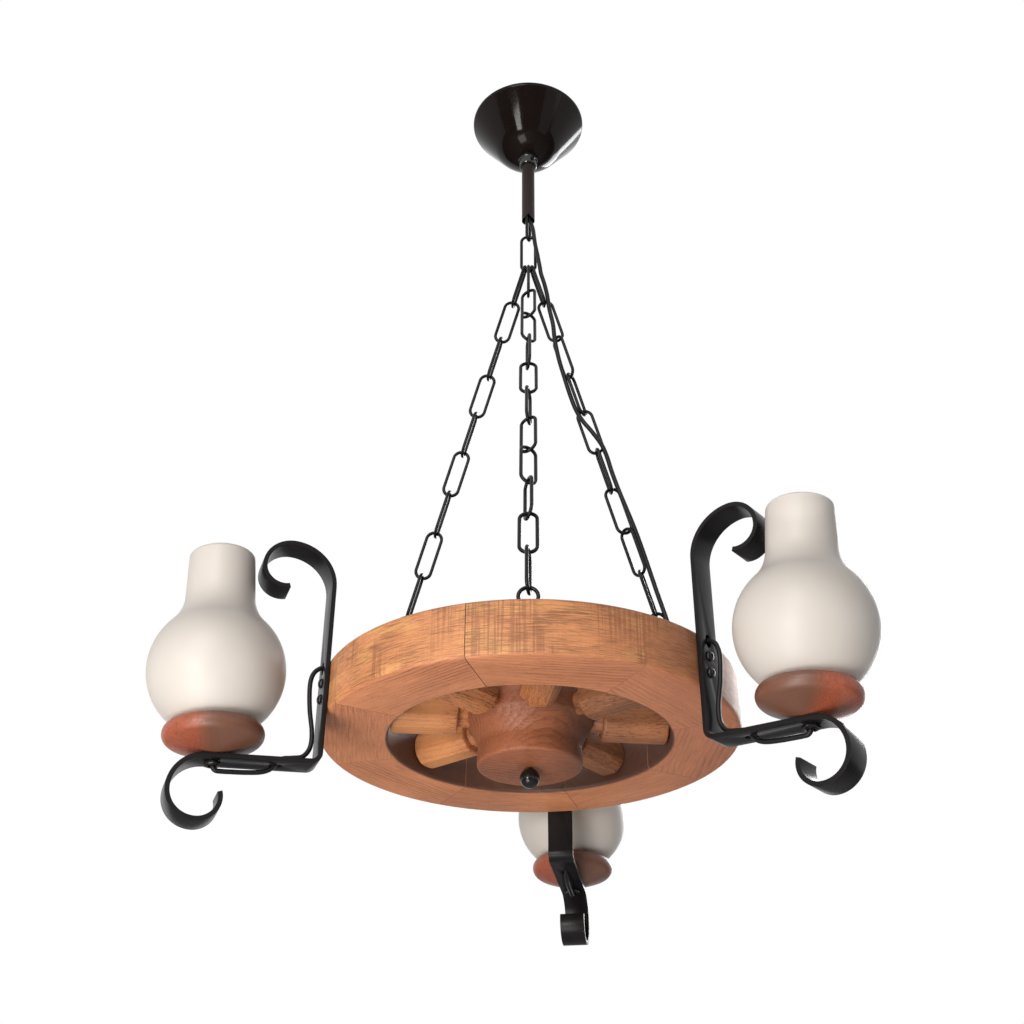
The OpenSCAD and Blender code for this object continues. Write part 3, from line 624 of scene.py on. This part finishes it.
def spun(turn, steps, middle, axis):
    """Spin what is selected by so many degrees; the operator counts the other way round."""
    bpy.ops.mesh.spin(steps=steps, angle=math.radians(-turn), center=middle, axis=axis)


def turned(name, outline, steps=96, closed=True):
    """Turn an outline of (radius, height) points round the Z axis."""
    points = [(r, 0, z) for r, z in outline]
    if closed:
        points.append(points[0])
    piece = drawn_line(name, points)
    bpy.ops.mesh.select_all(action="SELECT")
    spun(360, steps, (0, 0, 0), (0, 0, 1))
    bpy.ops.object.mode_set(mode="OBJECT")
    close_up(piece)
    return piece


def arc(cx, cz, r, start, end, steps):
    """Points of an arc in the outline's plane, from one angle to another."""
    angles = [math.radians(start + (end - start) * i / steps) for i in range(steps + 1)]
    return [(cx + r * math.cos(a), cz + r * math.sin(a)) for a in angles]


def rod(radius, start, end, sides=32):
    """A round cutter between two points, in millimetres."""
    start, end = Vector(start) * MM, Vector(end) * MM
    way = end - start
    put_down()
    bpy.ops.mesh.primitive_cylinder_add(
        vertices=sides, radius=radius * MM, depth=way.length, location=(start + end) / 2,
        rotation=way.to_track_quat("Z", "Y").to_euler(),
    )
    bpy.ops.object.transform_apply(location=True, rotation=True, scale=True)
    return bpy.context.object


def block(low, high):
    """A square cutter between two corners, in millimetres."""
    low, high = Vector(low) * MM, Vector(high) * MM
    put_down()
    bpy.ops.mesh.primitive_cube_add(size=1, location=(low + high) / 2, scale=high - low)
    bpy.ops.object.transform_apply(location=True, rotation=True, scale=True)
    return bpy.context.object


def cut(piece, *cutters):
    for cutter in cutters:
        pick(piece)
        modifier = piece.modifiers.new("cut", "BOOLEAN")
        modifier.operation = "DIFFERENCE"
        modifier.solver = "EXACT"
        modifier.object = cutter
        bpy.ops.object.modifier_apply(modifier=modifier.name)
        bpy.data.objects.remove(cutter)


def bevelled(piece, width, segments=2, angle=40.0):
    pick(piece)
    modifier = piece.modifiers.new("edges", "BEVEL")
    modifier.width = width * MM
    modifier.segments = segments
    modifier.limit_method = "ANGLE"
    modifier.angle_limit = math.radians(angle)
    modifier.use_clamp_overlap = True
    bpy.ops.object.modifier_apply(modifier=modifier.name)


def joined(name, *pieces):
    pick(*pieces)
    if len(pieces) > 1:
        bpy.ops.object.join()
    whole = bpy.context.object
    whole.name = whole.data.name = name
    return whole


def copied(piece, name, place=None):
    """A copy with its own mesh, moved to its place."""
    pick(piece)
    bpy.ops.object.duplicate(linked=False)
    copy = bpy.context.object
    copy.name = copy.data.name = name
    if place is not None:
        copy.data.transform(place)
    return copy


def mark_grain(piece, along, across, through, number=0):
    """Write on each corner where it lies in its board, so that the grain follows the piece."""
    shift = Vector((0.31, 0.017, 0.011)) * number
    board = Matrix((along, across, through))
    places = []
    for corner in piece.data.vertices:
        places.extend(board @ corner.co + shift)
    marks = piece.data.attributes.new("grain", "FLOAT_VECTOR", "POINT")
    marks.data.foreach_set("vector", places)


def faced(piece, slot, finish, *nodes):
    """Give a piece its material and hide the CAD nodes it stands for; the slot argument is not used."""
    if finish is not None:
        piece.data.materials.clear()
        piece.data.materials.append(finish)
    if nodes:
        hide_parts(*nodes)


def hand_over(piece, body, slot, finish, *nodes):
    """Finish a piece that rides on one body."""
    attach(piece, body)
    faced(piece, slot, finish, *nodes)


# ---------------------------------------------------------------- cables
def flowing(points):
    """A smooth line through the points."""
    points = [Vector(p) for p in points]
    line = []
    for i in range(len(points) - 1):
        before = points[i - 1] if i else 2 * points[0] - points[1]
        after = points[i + 2] if i + 2 < len(points) else 2 * points[-1] - points[-2]
        for k in range(curve_steps):
            t = k / curve_steps
            line.append(0.5 * (
                2 * points[i] + (points[i + 1] - before) * t
                + (2 * before - 5 * points[i] + 4 * points[i + 1] - after) * t * t
                + (3 * points[i] - before - 3 * points[i + 1] + after) * t ** 3
            ))
    line.append(points[-1])
    return line


def sheathed(name, line, diameter):
    """A round sheathed cable along a line of points in millimetres."""
    put_down()
    curve = bpy.data.curves.new(name, "CURVE")
    curve.dimensions = "3D"
    spline = curve.splines.new("POLY")
    spline.points.add(len(line) - 1)
    for point, place in zip(spline.points, line):
        point.co = (*(place * MM), 1)
    curve.bevel_depth = diameter / 2 * MM
    curve.bevel_resolution = 4
    curve.use_fill_caps = True
    cable = bpy.data.objects.new(name, curve)
    bpy.context.scene.collection.objects.link(cable)
    pick(cable)
    bpy.ops.object.convert(target="MESH")
    cable = bpy.context.object
    smooth(cable, 50)
    return cable


exit_a = stem_a - 90
upper_route = [
    (25, 24), (17, 24), (10.5, 21), (6.2, 14.5), (4.7, 6), (4.5, -2), (3.2, -9.5),
    (0.8, -18), (0, -28), (0, -66), (0, -104), (0.6, -113),
]
neck_upper_route = [
    (0.56, -0.22, -113.3), (1.9, -0.8, -119), (4, -2, -126), (5.4, -3.8, -134),
    (6.1, -5.6, -142), (6.8, -6.6, -151), (7.8, -6.9, -160), (9, -6.9, -168),
]
neck_lower_route = [(9.05, -6.9, -168.3), (10.4, -6.6, -176), (11.6, -6, -184), (12.9, -5, -192)]
strand_start = [(7, 5, 10), (6.6, 5.2, 24)]
strand_route = [
    (6.6, 5.2, 24.3), (5, 6, 40), (2, 6.5, 58), (0, 6.5, 78), (-3.8, 6, 97), (-6.3, 4.2, 120),
    (-7, 2.5, 143), (-7.5, 2, 165), (-7.2, 3.2, 184), (-5, 5.8, 200), (0.5, 6.6, 216),
    (5.6, 6, 233), (7, 4.6, 247), (6.5, 4.2, 266), (6.6, 5, 288), (7.6, 5, 310),
    (9, 3.4, 333), (9.5, 2, 358), (9, 2.6, 383), (8.4, 3.4, 408), (8, 5, 432),
    (7.6, 5.6, 456), (8.6, 5, 479), (12, 4, 500),
]
wheel_route = [(165.5, 28.6, 29), (159, 27.8, 19), (153, 27.2, 10.5), (150.3, 27, 3), (150, 27, -5)]
upright_route = [
    (groove_r + 3.5, slot_z), (arm_mid - 2.3, slot_z), (arm_mid + 6.2, 16.5), (arm_mid + 10.7, 9.5),
    (arm_mid + 11.9, -2), (arm_mid + 10.2, -22), (arm_mid + 6.7, -42), (arm_mid + 7.2, -56),
]
leg_route = [
    (4.7, 7.8), (14, 5.8), (22, 4.6), (27.5, -0.5), (32.5, -5.5), (40, -8.2), (52, -9.2),
    (64, -9.4), (72, -9.4), (77.4, -8.6), (79.8, -3.5), (80, 12), (80, 33),
]


def make_supply():
    """The supply cable: one smooth line, in four lengths that follow the joints of the hanging."""
    upper = [polar(r, exit_a, z) for r, z in upper_route]
    neck_upper = [turned_z(q, gather_a) for q in neck_upper_route]
    neck_lower = [turned_z(q, gather_a) for q in neck_lower_route] + [by_right(q) for q in strand_start]
    main = [by_right(q) for q in strand_route] + [polar(r, a, top_z + h) for r, a, h in wheel_route]
    points = upper + neck_upper[1:] + neck_lower[1:] + main[1:]
    line = flowing(points)
    first = (len(upper) - 1) * curve_steps
    second = first + (len(neck_upper) - 1) * curve_steps
    third = second + (len(neck_lower) - 1) * curve_steps
    lengths = [
        ("supply_in_sleeve", "supply_upper", line[:first + 1], ["stem"]),
        ("supply_bend_upper", "supply_neck_upper", line[first:second + 1], ["stem", "gather"]),
        ("supply_bend_lower", "supply_neck_lower", line[second:third + 1], ["gather", "chandelier"]),
        ("supply_by_chain", "supply_cable", line[third:], ["chandelier"]),
    ]
    for name, node, part, bodies in lengths:
        cable = sheathed(name, part, supply_d)
        faced(cable, "black_sheath", cable_skin, node)
        if len(bodies) == 2:
            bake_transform(cable)
        else:
            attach(cable, *bodies)


def make_arm_cables():
    points = [Vector((r, 0, wheel_z + z)) for r, z in upright_route] + [on_leg(q) for q in leg_route]
    cable = sheathed("arm_lead", flowing(points), arm_cable_d)
    for where, a in arm_angle.items():
        lead = copied(cable, f"arm_lead_{where}", turning(a))
        hand_over(lead, "chandelier", "black_sheath", cable_skin, f"arm_cable_{where}")
    bpy.data.objects.remove(cable)


make_supply()
make_arm_cables()


# ---------------------------------------------------------------- canopy
def make_canopy():
    """Spun steel bowl: a rolled rim, a sloping side and a round bottom with a flat for the grip."""
    floor_z = ceiling_z - canopy_depth
    lip_z = ceiling_z - canopy_lip
    dish_z = ceiling_z - canopy_dish
    slope = math.radians(canopy_slope)
    dish_r = canopy_r * math.cos(slope) - (lip_z - dish_z) * math.sin(slope)
    corner_r = 5.0
    corner = (canopy_r - corner_r, lip_z + corner_r * math.tan(slope / 2))
    hole = 9.6

    def skin(t):
        flat = math.degrees(math.asin((floor_z + t - dish_z) / (dish_r - t)))
        return (
            [(hole, floor_z + t)]
            + arc(0, dish_z, dish_r - t, flat, -canopy_slope, 16)
            + arc(*corner, corner_r - t, -canopy_slope, 0, 6)
        )

    outer, inner = skin(0), skin(canopy_wall)
    lip = arc(canopy_r - canopy_wall / 2, ceiling_z - canopy_wall / 2, canopy_wall / 2, 0, 180, 6)
    canopy = turned("canopy_bowl_spun", outer + lip + inner[::-1], 128)
    smooth(canopy)
    hand_over(canopy, "canopy", "black_gloss", canopy_gloss, "canopy")


make_canopy()


# ---------------------------------------------------------------- wheel
def felloe_middle(i):
    """The angle at which a felloe has its middle and its spoke."""
    return felloe_turn + sector / 2 + sector * i


def make_felloe():
    """One eighth of the rim: a rounded section with the cable groove, swept and trimmed."""
    half, c = rim_thick / 2, rim_round
    section = (
        arc(rim_inner_r + c, -half + c, c, 180, 270, 5)
        + arc(wheel_r - c, -half + c, c, 270, 360, 5)
        + arc(wheel_r - c, half - c, c, 0, 90, 5)
        + [(groove_r + groove / 2, half), (groove_r + groove / 2, half - groove)]
        + [(groove_r - groove / 2, half - groove), (groove_r - groove / 2, half)]
        + arc(rim_inner_r + c, half - c, c, 90, 180, 5)
    )
    points = [(r, 0, z) for r, z in section]
    felloe = drawn_line("felloe", points + points[:1])
    trim = 90 * felloe_joint / (math.pi * wheel_r)
    bpy.ops.mesh.select_all(action="SELECT")
    bpy.ops.mesh.remove_doubles(threshold=merge_gap * MM)
    bpy.ops.mesh.edge_face_add()
    bpy.ops.object.mode_set(mode="OBJECT")
    felloe.data.transform(turning(trim - sector / 2))
    edit(felloe, "FACE")
    bpy.ops.mesh.select_all(action="SELECT")
    spun(sector - 2 * trim, 20, (0, 0, 0), (0, 0, 1))
    close_up(felloe)
    hole_r = tenon_d / 2 + tenon_clear
    cut(felloe, rod(hole_r, (rim_inner_r - 2, 0, 0), (rim_inner_r + tenon_depth, 0, 0), 48))
    return felloe


def ease_ends(felloe):
    """A dark glued arris where a felloe meets its neighbours."""
    sketch = edit(felloe, "EDGE")
    for e in sketch.edges:
        if len(e.link_faces) != 2:
            continue
        a, b = (f.normal for f in e.link_faces)
        middle = (e.verts[0].co + e.verts[1].co) / 2
        turn = math.degrees(math.atan2(middle.y, middle.x))
        e.select = abs(abs(turn) - sector / 2) < 0.3 and a.dot(b) < 0.5
    bmesh.update_edit_mesh(felloe.data)
    bpy.ops.mesh.bevel(offset=0.28 * MM, segments=1, material=1)
    bpy.ops.object.mode_set(mode="OBJECT")


def make_rim():
    felloe = make_felloe()
    for finish in (pine_rim, pine_joint, pine_seam):
        felloe.data.materials.append(finish)
    ease_ends(felloe)
    arms = {1: "far", 3: "left", 6: "right"}
    eyes = {2: "left", 5: "near", 7: "right"}
    for i in range(felloe_count):
        middle = felloe_middle(i)
        piece = copied(felloe, f"rim_felloe_{i + 1}")
        if i in arms:
            a = arm_angle[arms[i]] - middle
            screw_hole = screw_d / 2 + screw_clear, wheel_r - 24.5
            holes = [(cable_hole_d / 2, groove_r, slot_z)] + [(*screw_hole, z) for z in screw_z]
            for r, start, z in holes:
                cut(piece, rod(r, polar(start, a, z), polar(wheel_r + 4, a, z)))
        if i in eyes:
            x, y, _ = polar(eye_circle_r, eye_angle[eyes[i]] - middle, 0)
            cut(piece, rod(wire_d / 2 + screw_clear, (x, y, 0.5), (x, y, rim_thick)))
        open_end = {4: 1, 5: -1}.get(i, 0)
        for face in piece.data.polygons:
            if face.material_index == 1 and face.center.y * open_end > 0:
                face.material_index = 2
        mark_grain(piece, (0, 1, 0), (1, 0, 0), (0, 0, 1), i)
        smooth(piece, 30)
        piece.data.transform(to_wheel @ turning(middle))
        hand_over(piece, "chandelier", "pine", None, f"felloe_{i + 1}")
    bpy.data.objects.remove(felloe)


def make_spokes():
    """A turned billet with hewn flats and a tenon at each end."""
    r, tenon = spoke_d / 2, tenon_d / 2
    start, end = spoke_shoulder, rim_inner_r - 1.6
    far_end = rim_inner_r + tenon_depth - tenon_end_gap
    near_end = hub_r - tenon_depth + tenon_end_gap
    outline = (
        [(0, near_end), (tenon - 0.8, near_end), (tenon, near_end + 0.8), (tenon, start), (r - 3.4, start)]
        + arc(r - 3.4, start + 3.4, 3.4, -90, 0, 5)[1:]
        + [(r, start + 20), (r, end - 20)]
        + arc(r - 2.4, end - 2.4, 2.4, 0, 90, 4)
        + [(tenon, end), (tenon, far_end - 0.8), (tenon - 0.8, far_end), (0, far_end)]
    )
    spoke = turned("spoke_billet", outline, 40, closed=False)
    edit(spoke)
    flat = spoke_flats / 2
    for a, reach in ((0, flat), (90, flat), (180, flat), (270, flat), (225, flat + 0.5), (315, flat + 0.3)):
        side = polar(1, a, 0)
        bpy.ops.mesh.select_all(action="SELECT")
        bpy.ops.mesh.bisect(plane_co=side * reach * MM, plane_no=side, use_fill=True, clear_outer=True)
    bpy.ops.object.mode_set(mode="OBJECT")
    close_up(spoke)
    bevelled(spoke, 0.7, 2, 14)
    spoke.data.transform(turning(90, "Y"))
    smooth(spoke, 40)
    upside_down = (1, 2, 4, 6, 7)
    for i in range(felloe_count):
        piece = copied(spoke, f"rim_spoke_{i + 1}")
        mark_grain(piece, (1, 0, 0), (0, 1, 0), (0, 0, 1), i + 11)
        middle = felloe_middle(i)
        roll = turning(180 if i in upside_down else 0, "X")
        piece.data.transform(to_wheel @ turning(middle) @ roll)
        hand_over(piece, "chandelier", "pine", pine_spoke, f"spoke_{i + 1}")
    bpy.data.objects.remove(spoke)


def make_hub():
    """Turned hub: drum, a hollow valley, a flare to the full radius and a rounded top."""
    half, low = rim_thick / 2, -drum_drop
    stud, stud_hole = 2.55, low + knob_stud_len + 0.5
    outline = (
        [(stud, stud_hole), (stud, low), (drum_r - 3, low)]
        + arc(drum_r - 3, low + 3, 3, -90, 0, 6)[1:]
        + [(47.5, -38), (47.4, -34), (47.0, -31), (47.0, -28.5), (47.6, -26), (48.8, -23.5), (50.0, -20.5)]
        + [(51.4, -17), (53.2, -13.6), (55.4, -10.7), (57.2, -8.9), (58.0, -7.0)]
        + [(hub_r, half - 4)] + arc(hub_r - 4, half - 4, 4, 0, 90, 6)[1:]
        + [(30, half), (0, half), (0, stud_hole)]
    )
    hub = turned("hub_turned", outline, 112)
    for i in range(felloe_count):
        a = felloe_middle(i)
        hole = rod(tenon_d / 2 + tenon_clear, polar(hub_r - tenon_depth, a, 0), polar(hub_r + 4, a, 0), 40)
        cut(hub, hole)
    along, across = polar(1, 24, 0.22), polar(1, 24 + 90, 0.1)
    mark_grain(hub, along, across, (-0.2, 0, 1), 23)
    hub.data.transform(to_wheel)
    smooth(hub, 40)
    hand_over(hub, "chandelier", "pine", pine_hub, "hub")
    knob = knob_d / 2
    stud_r, gap = 2.5, 0.3
    stud_top = knob_stud_len + gap
    ball = [(0, stud_top), (stud_r, stud_top), (stud_r, -gap)] + arc(0, -knob - gap, knob, 74, -90, 26)
    button = turned("hub_button", [(r, z + low) for r, z in ball], 48, closed=False)
    button.data.transform(to_wheel)
    smooth(button, 40)
    hand_over(button, "chandelier", "black_iron", knob_gloss, "hub_knob")


make_rim()
make_spokes()
make_hub()


# ---------------------------------------------------------------- arms
class Strip:
    """Flat iron drawn out and bent round pegs, in the plane of its arm."""

    def __init__(self, heading):
        self.place, self.heading = Vector((arm_mid, 0, wheel_z)), heading

    def along(self):
        h = math.radians(self.heading)
        return Vector((math.cos(h), 0, math.sin(h)))

    def run(self, length):
        step = self.along() * length
        bpy.ops.mesh.extrude_region_move(TRANSFORM_OT_translate={"value": step * MM})
        self.place += step

    def bend(self, radius, turn):
        h = math.radians(self.heading)
        left = Vector((-math.sin(h), 0, math.cos(h)))
        middle = self.place + left * radius * (1 if turn > 0 else -1)
        steps = max(5, round(abs(turn) / 6))
        spun(-turn, steps, middle * MM, (0, 1, 0))
        self.place = middle + turned_y(self.place - middle, -turn)
        self.heading += turn


def make_arm_iron():
    put_down()
    bpy.ops.mesh.primitive_plane_add(size=1, location=(arm_mid * MM, 0, wheel_z * MM))
    bpy.ops.transform.resize(value=(arm_t * MM, arm_w * MM, 1))
    bpy.ops.object.transform_apply(location=True, rotation=True, scale=True)
    iron = bpy.context.object
    iron.name = iron.data.name = "arm_iron"
    edit(iron, "FACE")
    bpy.ops.mesh.select_all(action="SELECT")
    strip = Strip(90)
    strip.run(upright_top)
    for radius, turn in zip(upper_scroll, (-90, -90, -108)):
        strip.bend(radius, turn)
    sketch = edit(iron, "FACE")
    for face in sketch.faces:
        face.select = all(abs(corner.co.z - wheel_z * MM) < 1e-5 for corner in face.verts)
    bmesh.update_edit_mesh(iron.data)
    strip = Strip(-90)
    strip.run(upright_bottom)
    strip.bend(foot_bend_r, 90 - leg_droop)
    strip.run(leg_len)
    for radius, turn in zip(lower_scroll, (-90, -90, -105)):
        strip.bend(radius, turn)
    close_up(iron)
    behind, before = wheel_r - 3, wheel_r + 8
    screw_hole_r, slot_r, eyelet_r, shy = 2.5, 4.0, 3.5, 0.001
    slot_low, slot_high = slot_z - 3, slot_z + 1
    for r, z in [(screw_hole_r, z) for z in screw_z] + [(slot_r, slot_low), (slot_r, slot_high)]:
        cut(iron, rod(r, (behind, 0, wheel_z + z), (before, 0, wheel_z + z)))
    half = slot_r - shy
    cut(iron, block((behind, -half, wheel_z + slot_low), (before, half, wheel_z + slot_high)))
    eyelet_ends = (25, 30)
    for x in eyelet_ends:
        cut(iron, rod(eyelet_r, on_leg((x, -6)), on_leg((x, 6))))
    half = eyelet_r - shy
    eyelet = block((eyelet_ends[0], -half, -6), (eyelet_ends[1], half, 6))
    eyelet.data.transform(turning(leg_droop, "Y"))
    eyelet.data.transform(moving(*on_leg((0, 0))))
    cut(iron, eyelet, rod(tube_d / 2 + fit_gap, on_leg((lamp_on_leg, -6)), on_leg((lamp_on_leg, 6))))
    bevelled(iron, 0.75, 3)
    smooth(iron, 30)
    return iron


def make_arms():
    iron = make_arm_iron()
    for where, a in arm_angle.items():
        arm = copied(iron, f"scroll_arm_{where}", turning(a))
        hand_over(arm, "chandelier", "black_iron", iron_paint, f"arm_{where}")
    bpy.data.objects.remove(iron)


def make_arm_screws():
    """Round-head wood screws with a hexagon recess."""
    dome = [(0, 2.45), (1.6, 2.45), (2.3, 2.6), (3.1, 2.4), (3.8, 1.9), (4.3, 1.1), (4.5, 0.35), (4.4, 0)]
    shank = [(2.3, 0), (2.3, -22), (1.4, -26.6), (0, -28.3)]
    screw = turned("wood_screw", dome + shank, 40, closed=False)
    cut(screw, rod(2.0, (0, 0, 0.7), (0, 0, 4), 6))
    bevelled(screw, 0.12, 1, 50)
    smooth(screw, 35)
    screws = []
    head_x = wheel_r + arm_seat + arm_t + fit_gap
    for a in arm_angle.values():
        for k, z in enumerate(screw_z):
            place = turning(a) @ moving(head_x, 0, wheel_z + z) @ turning(90, "Y") @ turning(23 + 31 * k)
            screws.append(copied(screw, f"screw_{len(screws)}", place))
    bpy.data.objects.remove(screw)
    hand_over(joined("arm_wood_screws", *screws), "chandelier", "black_iron", knob_gloss, "arm_screws")


make_arms()
make_arm_screws()


# ---------------------------------------------------------------- lamps
def make_cups():
    """Low turned buns: a small foot, a straight flare and a rounded edge under the flat top."""
    edge_x, edge_z = cup_r - cup_edge, 0.73 * cup_h
    side = math.hypot(edge_x - cup_foot_r, edge_z)
    flare = math.degrees(math.atan2(edge_z, edge_x - cup_foot_r) - math.asin(cup_edge / side))
    bore = tube_d / 2 + fit_gap
    outline = (
        [(bore, 0), (cup_foot_r - 1.6, 0), (cup_foot_r - 0.4, 0.25), (cup_foot_r + 1.2, 0.75)]
        + arc(edge_x, edge_z, cup_edge, flare - 90, 48, 18)
        + [(edge_x + 4.7, cup_h - 0.25), (edge_x + 3.6, cup_h), (bore, cup_h)]
    )
    cup = turned("turned_cup", outline, 96)
    smooth(cup, 40)
    for where, heart_a in (("far", 280), ("left", 160), ("right", 220)):
        piece = copied(cup, f"turned_cup_{where}")
        mark_grain(piece, (0, 0, 1), polar(1, heart_a + 90, 0), polar(1, heart_a, 0))
        piece.data.transform(lamp_place(arm_angle[where]) @ moving(0, 0, lamp_seat))
        hand_over(piece, "chandelier", "walnut", walnut, f"cup_{where}")
    bpy.data.objects.remove(cup)


def make_glasses():
    """Blown chimney: bulb, a tight hollow shoulder, a straight neck and a lip rolled inwards."""
    bulb_z = math.sqrt(bulb_r ** 2 - foot_r ** 2)
    rise = neck_h - bulb_z
    hollow = (neck_r ** 2 + rise ** 2 - bulb_r ** 2) / (2 * (bulb_r - neck_r))
    meet = math.degrees(math.atan2(rise, neck_r + hollow))

    def skin(t):
        low = math.degrees(math.asin(-bulb_z / (bulb_r - t)))
        return (
            arc(0, bulb_z, bulb_r - t, low, meet, 34)
            + arc(neck_r + hollow, neck_h, hollow + t, 180 + meet, 180, 14)[1:]
        )

    outer, inner = skin(0), skin(glass_wall)
    lip_r = 3.4
    lip = (
        [(mouth_r + 0.55, glass_h - 18)]
        + arc(mouth_r - lip_r, glass_h - lip_r, lip_r, 0, 90, 7)
        + [(mouth_r - lip_r - 1.0, glass_h - 0.5), (mouth_r - lip_r - 1.3, glass_h - 1.6)]
        + [(mouth_r - lip_r - 0.9, glass_h - 2.9), (mouth_r - glass_wall, glass_h - 5.5)]
        + [(mouth_r - glass_wall + 0.4, glass_h - 18)]
    )
    glass_body = turned("frosted_chimney", outer + lip + inner[::-1], 112)
    bevelled(glass_body, 0.6, 2, 50)
    smooth(glass_body, 50)
    for where, a in arm_angle.items():
        place = lamp_place(a) @ moving(0, 0, cup_h + 2 * lamp_seat)
        piece = copied(glass_body, f"frosted_chimney_{where}", place)
        hand_over(piece, f"shade_{where}", "frosted_glass", glass, f"shade_{where}")
    bpy.data.objects.remove(glass_body)


def make_lamp_tubes():
    """Tube with a hexagon nut under the leg."""
    nut_h = 3.0
    low = -arm_t - lamp_seat - nut_h - 0.5
    high = cup_h + 2 * lamp_seat + 9
    bore, r, ease = tube_bore / 2, tube_d / 2, 0.4
    side = [(r - ease, low), (r, low + ease), (r, high - ease), (r - ease, high)]
    tube = turned("lamp_tube", [(bore, low)] + side + [(bore, high)], 32)
    nut_r, nut_z = 7.5, low + 2
    put_down()
    bpy.ops.mesh.primitive_cylinder_add(
        vertices=6, radius=nut_r * MM, depth=nut_h * MM, location=(0, 0, nut_z * MM))
    bpy.ops.object.transform_apply(location=True, rotation=True, scale=True)
    nut = bpy.context.object
    cut(nut, rod(r + 0.02, (0, 0, low - 2), (0, 0, low + 7)))
    bevelled(nut, 0.45, 2)
    whole = joined("lamp_tube_and_nut", tube, nut)
    smooth(whole, 30)
    pieces = [copied(whole, f"tube_{w}", lamp_place(a)) for w, a in arm_angle.items()]
    bpy.data.objects.remove(whole)
    hand_over(joined("lamp_tubes_and_nuts", *pieces), "chandelier", "plated_steel", knob_gloss, "lamp_tubes")


def make_lamp_shells():
    """Pressed brass thread inside each porcelain lamp holder, with its spring contact."""
    base = cup_h + 2 * lamp_seat
    low, high = base + holder_h - socket_depth + 0.2, base + holder_h - 1.5
    shell_r, thread_r, thread_depth, thread_pitch = 13.3, 12.85, 0.35, 3.6
    steps = 40
    heights = [low + (high - low) * i / steps for i in range(steps + 1)]
    outer = [(shell_r, z) for z in heights]
    inner = [(thread_r - thread_depth * math.sin(2 * math.pi * z / thread_pitch), z) for z in heights[::-1]]
    shell = turned("thread_shell", outer + inner, 48)
    spring = [(0, low + 2.4), (2.2, low + 2.2), (3.4, low + 1.2), (3.6, low), (0, low)]
    contact = turned("centre_contact", spring, 24, closed=False)
    whole = joined("lamp_thread", shell, contact)
    smooth(whole, 40)
    for where, a in arm_angle.items():
        piece = copied(whole, f"lamp_thread_{where}", lamp_place(a))
        hand_over(piece, "chandelier", "plated_steel", brass)
    bpy.data.objects.remove(whole)


make_cups()
make_glasses()
make_lamp_tubes()
make_lamp_shells()


# ---------------------------------------------------------------- parts that keep the CAD's shape
def dress(finish, *nodes):
    for name in nodes:
        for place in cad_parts[name].material_slots:
            place.material = finish


dress(chain_paint, "stem_link", "gather_link", "chain_near", "chain_left", "chain_right", "eye_screws")
dress(sleeve_skin, "stem_sleeve")
dress(grip_nylon, "cord_grip", "grip_nut")
dress(knob_gloss, "grip_screw")
dress(connector_nylon, "ceiling_connector", "wheel_connector")
dress(cable_skin, "rim_loom")
dress(porcelain, "holder_far", "holder_left", "holder_right")


# ---------------------------------------------------------------- floor, lamps and world
def set_floor():
    put_down()
    bpy.ops.mesh.primitive_plane_add(size=14, location=(0, 0, -1.9))
    floor = bpy.context.object
    floor.name = "studio_floor"
    finish, bench, shader = new_finish("studio_floor")
    cloud = bench.noise(object_place(bench), scale=0.7, detail=1.0)
    lay_on(bench, shader, bench.mix(cloud, (0.80, 0.80, 0.79), (0.83, 0.83, 0.82)), 0.9)
    path = bench.add("ShaderNodeLightPath").outputs
    seen = bench.math("MAXIMUM", path["Is Camera Ray"], path["Is Transmission Ray"])
    glow = bench.add("ShaderNodeEmission", {"Color": (0.93, 0.93, 0.92), "Strength": 1.0})
    surfaces = {0: bench.times(seen, 0.65), 1: shader.outputs["BSDF"], 2: glow.outputs["Emission"]}
    pale = bench.add("ShaderNodeMixShader", surfaces)
    out = [node for node in bench.tree.nodes if node.bl_idname == "ShaderNodeOutputMaterial"][0]
    bench.feed(out.inputs["Surface"], pale.outputs["Shader"])
    floor.data.materials.append(finish)


def set_lamp(name, place, aim, size, power, colour=(1, 1, 1)):
    put_down()
    bpy.ops.object.light_add(type="AREA", location=place)
    lamp = bpy.context.object
    lamp.name = name
    lamp.data.shape = "RECTANGLE"
    lamp.data.size, lamp.data.size_y = size
    lamp.data.energy = power
    lamp.data.color = colour
    lamp.rotation_euler = (Vector(aim) - Vector(place)).to_track_quat("-Z", "Y").to_euler()


def set_world():
    world = bpy.data.worlds.new("studio_air")
    bpy.context.scene.world = world
    world.use_nodes = True
    tree = world.node_tree
    tree.nodes.clear()
    bench = Bench(tree)
    path = bench.add("ShaderNodeLightPath").outputs
    seen = bench.math("MAXIMUM", path["Is Camera Ray"], path["Is Transmission Ray"])
    seen = bench.math("MAXIMUM", seen, path["Is Glossy Ray"])
    strength = bench.math("MAXIMUM", seen, 0.05)
    air = bench.add("ShaderNodeBackground", {"Color": (1, 1, 1), "Strength": strength})
    bench.add("ShaderNodeOutputWorld", {"Surface": air.outputs["Background"]})


set_floor()
set_lamp("key_left", (-0.75, -2.20, -1.20), (0, 0, -0.68), (0.6, 0.6), 25, (1.0, 0.965, 0.92))
set_lamp("bounce_below", (-0.40, -0.90, -1.66), (0, 0, -0.72), (0.7, 0.7), 10.5, (1.0, 0.96, 0.92))
set_lamp("window_above", (-0.30, -2.1, 0.2), (0, 0, -0.60), (0.9, 0.9), 18, (1.0, 0.98, 0.95))
set_lamp("fill_right", (1.9, -1.2, -0.9), (0, 0, -0.70), (1.2, 1.2), 3, (0.97, 0.98, 1.0))
set_lamp("window_behind", (0.9, 2.2, 0.3), (0, 0, -0.60), (1.2, 1.2), 42, (0.98, 0.99, 1.0))
set_world()
scene = bpy.context.scene
scene.view_settings.view_transform = "Standard"
put_down()
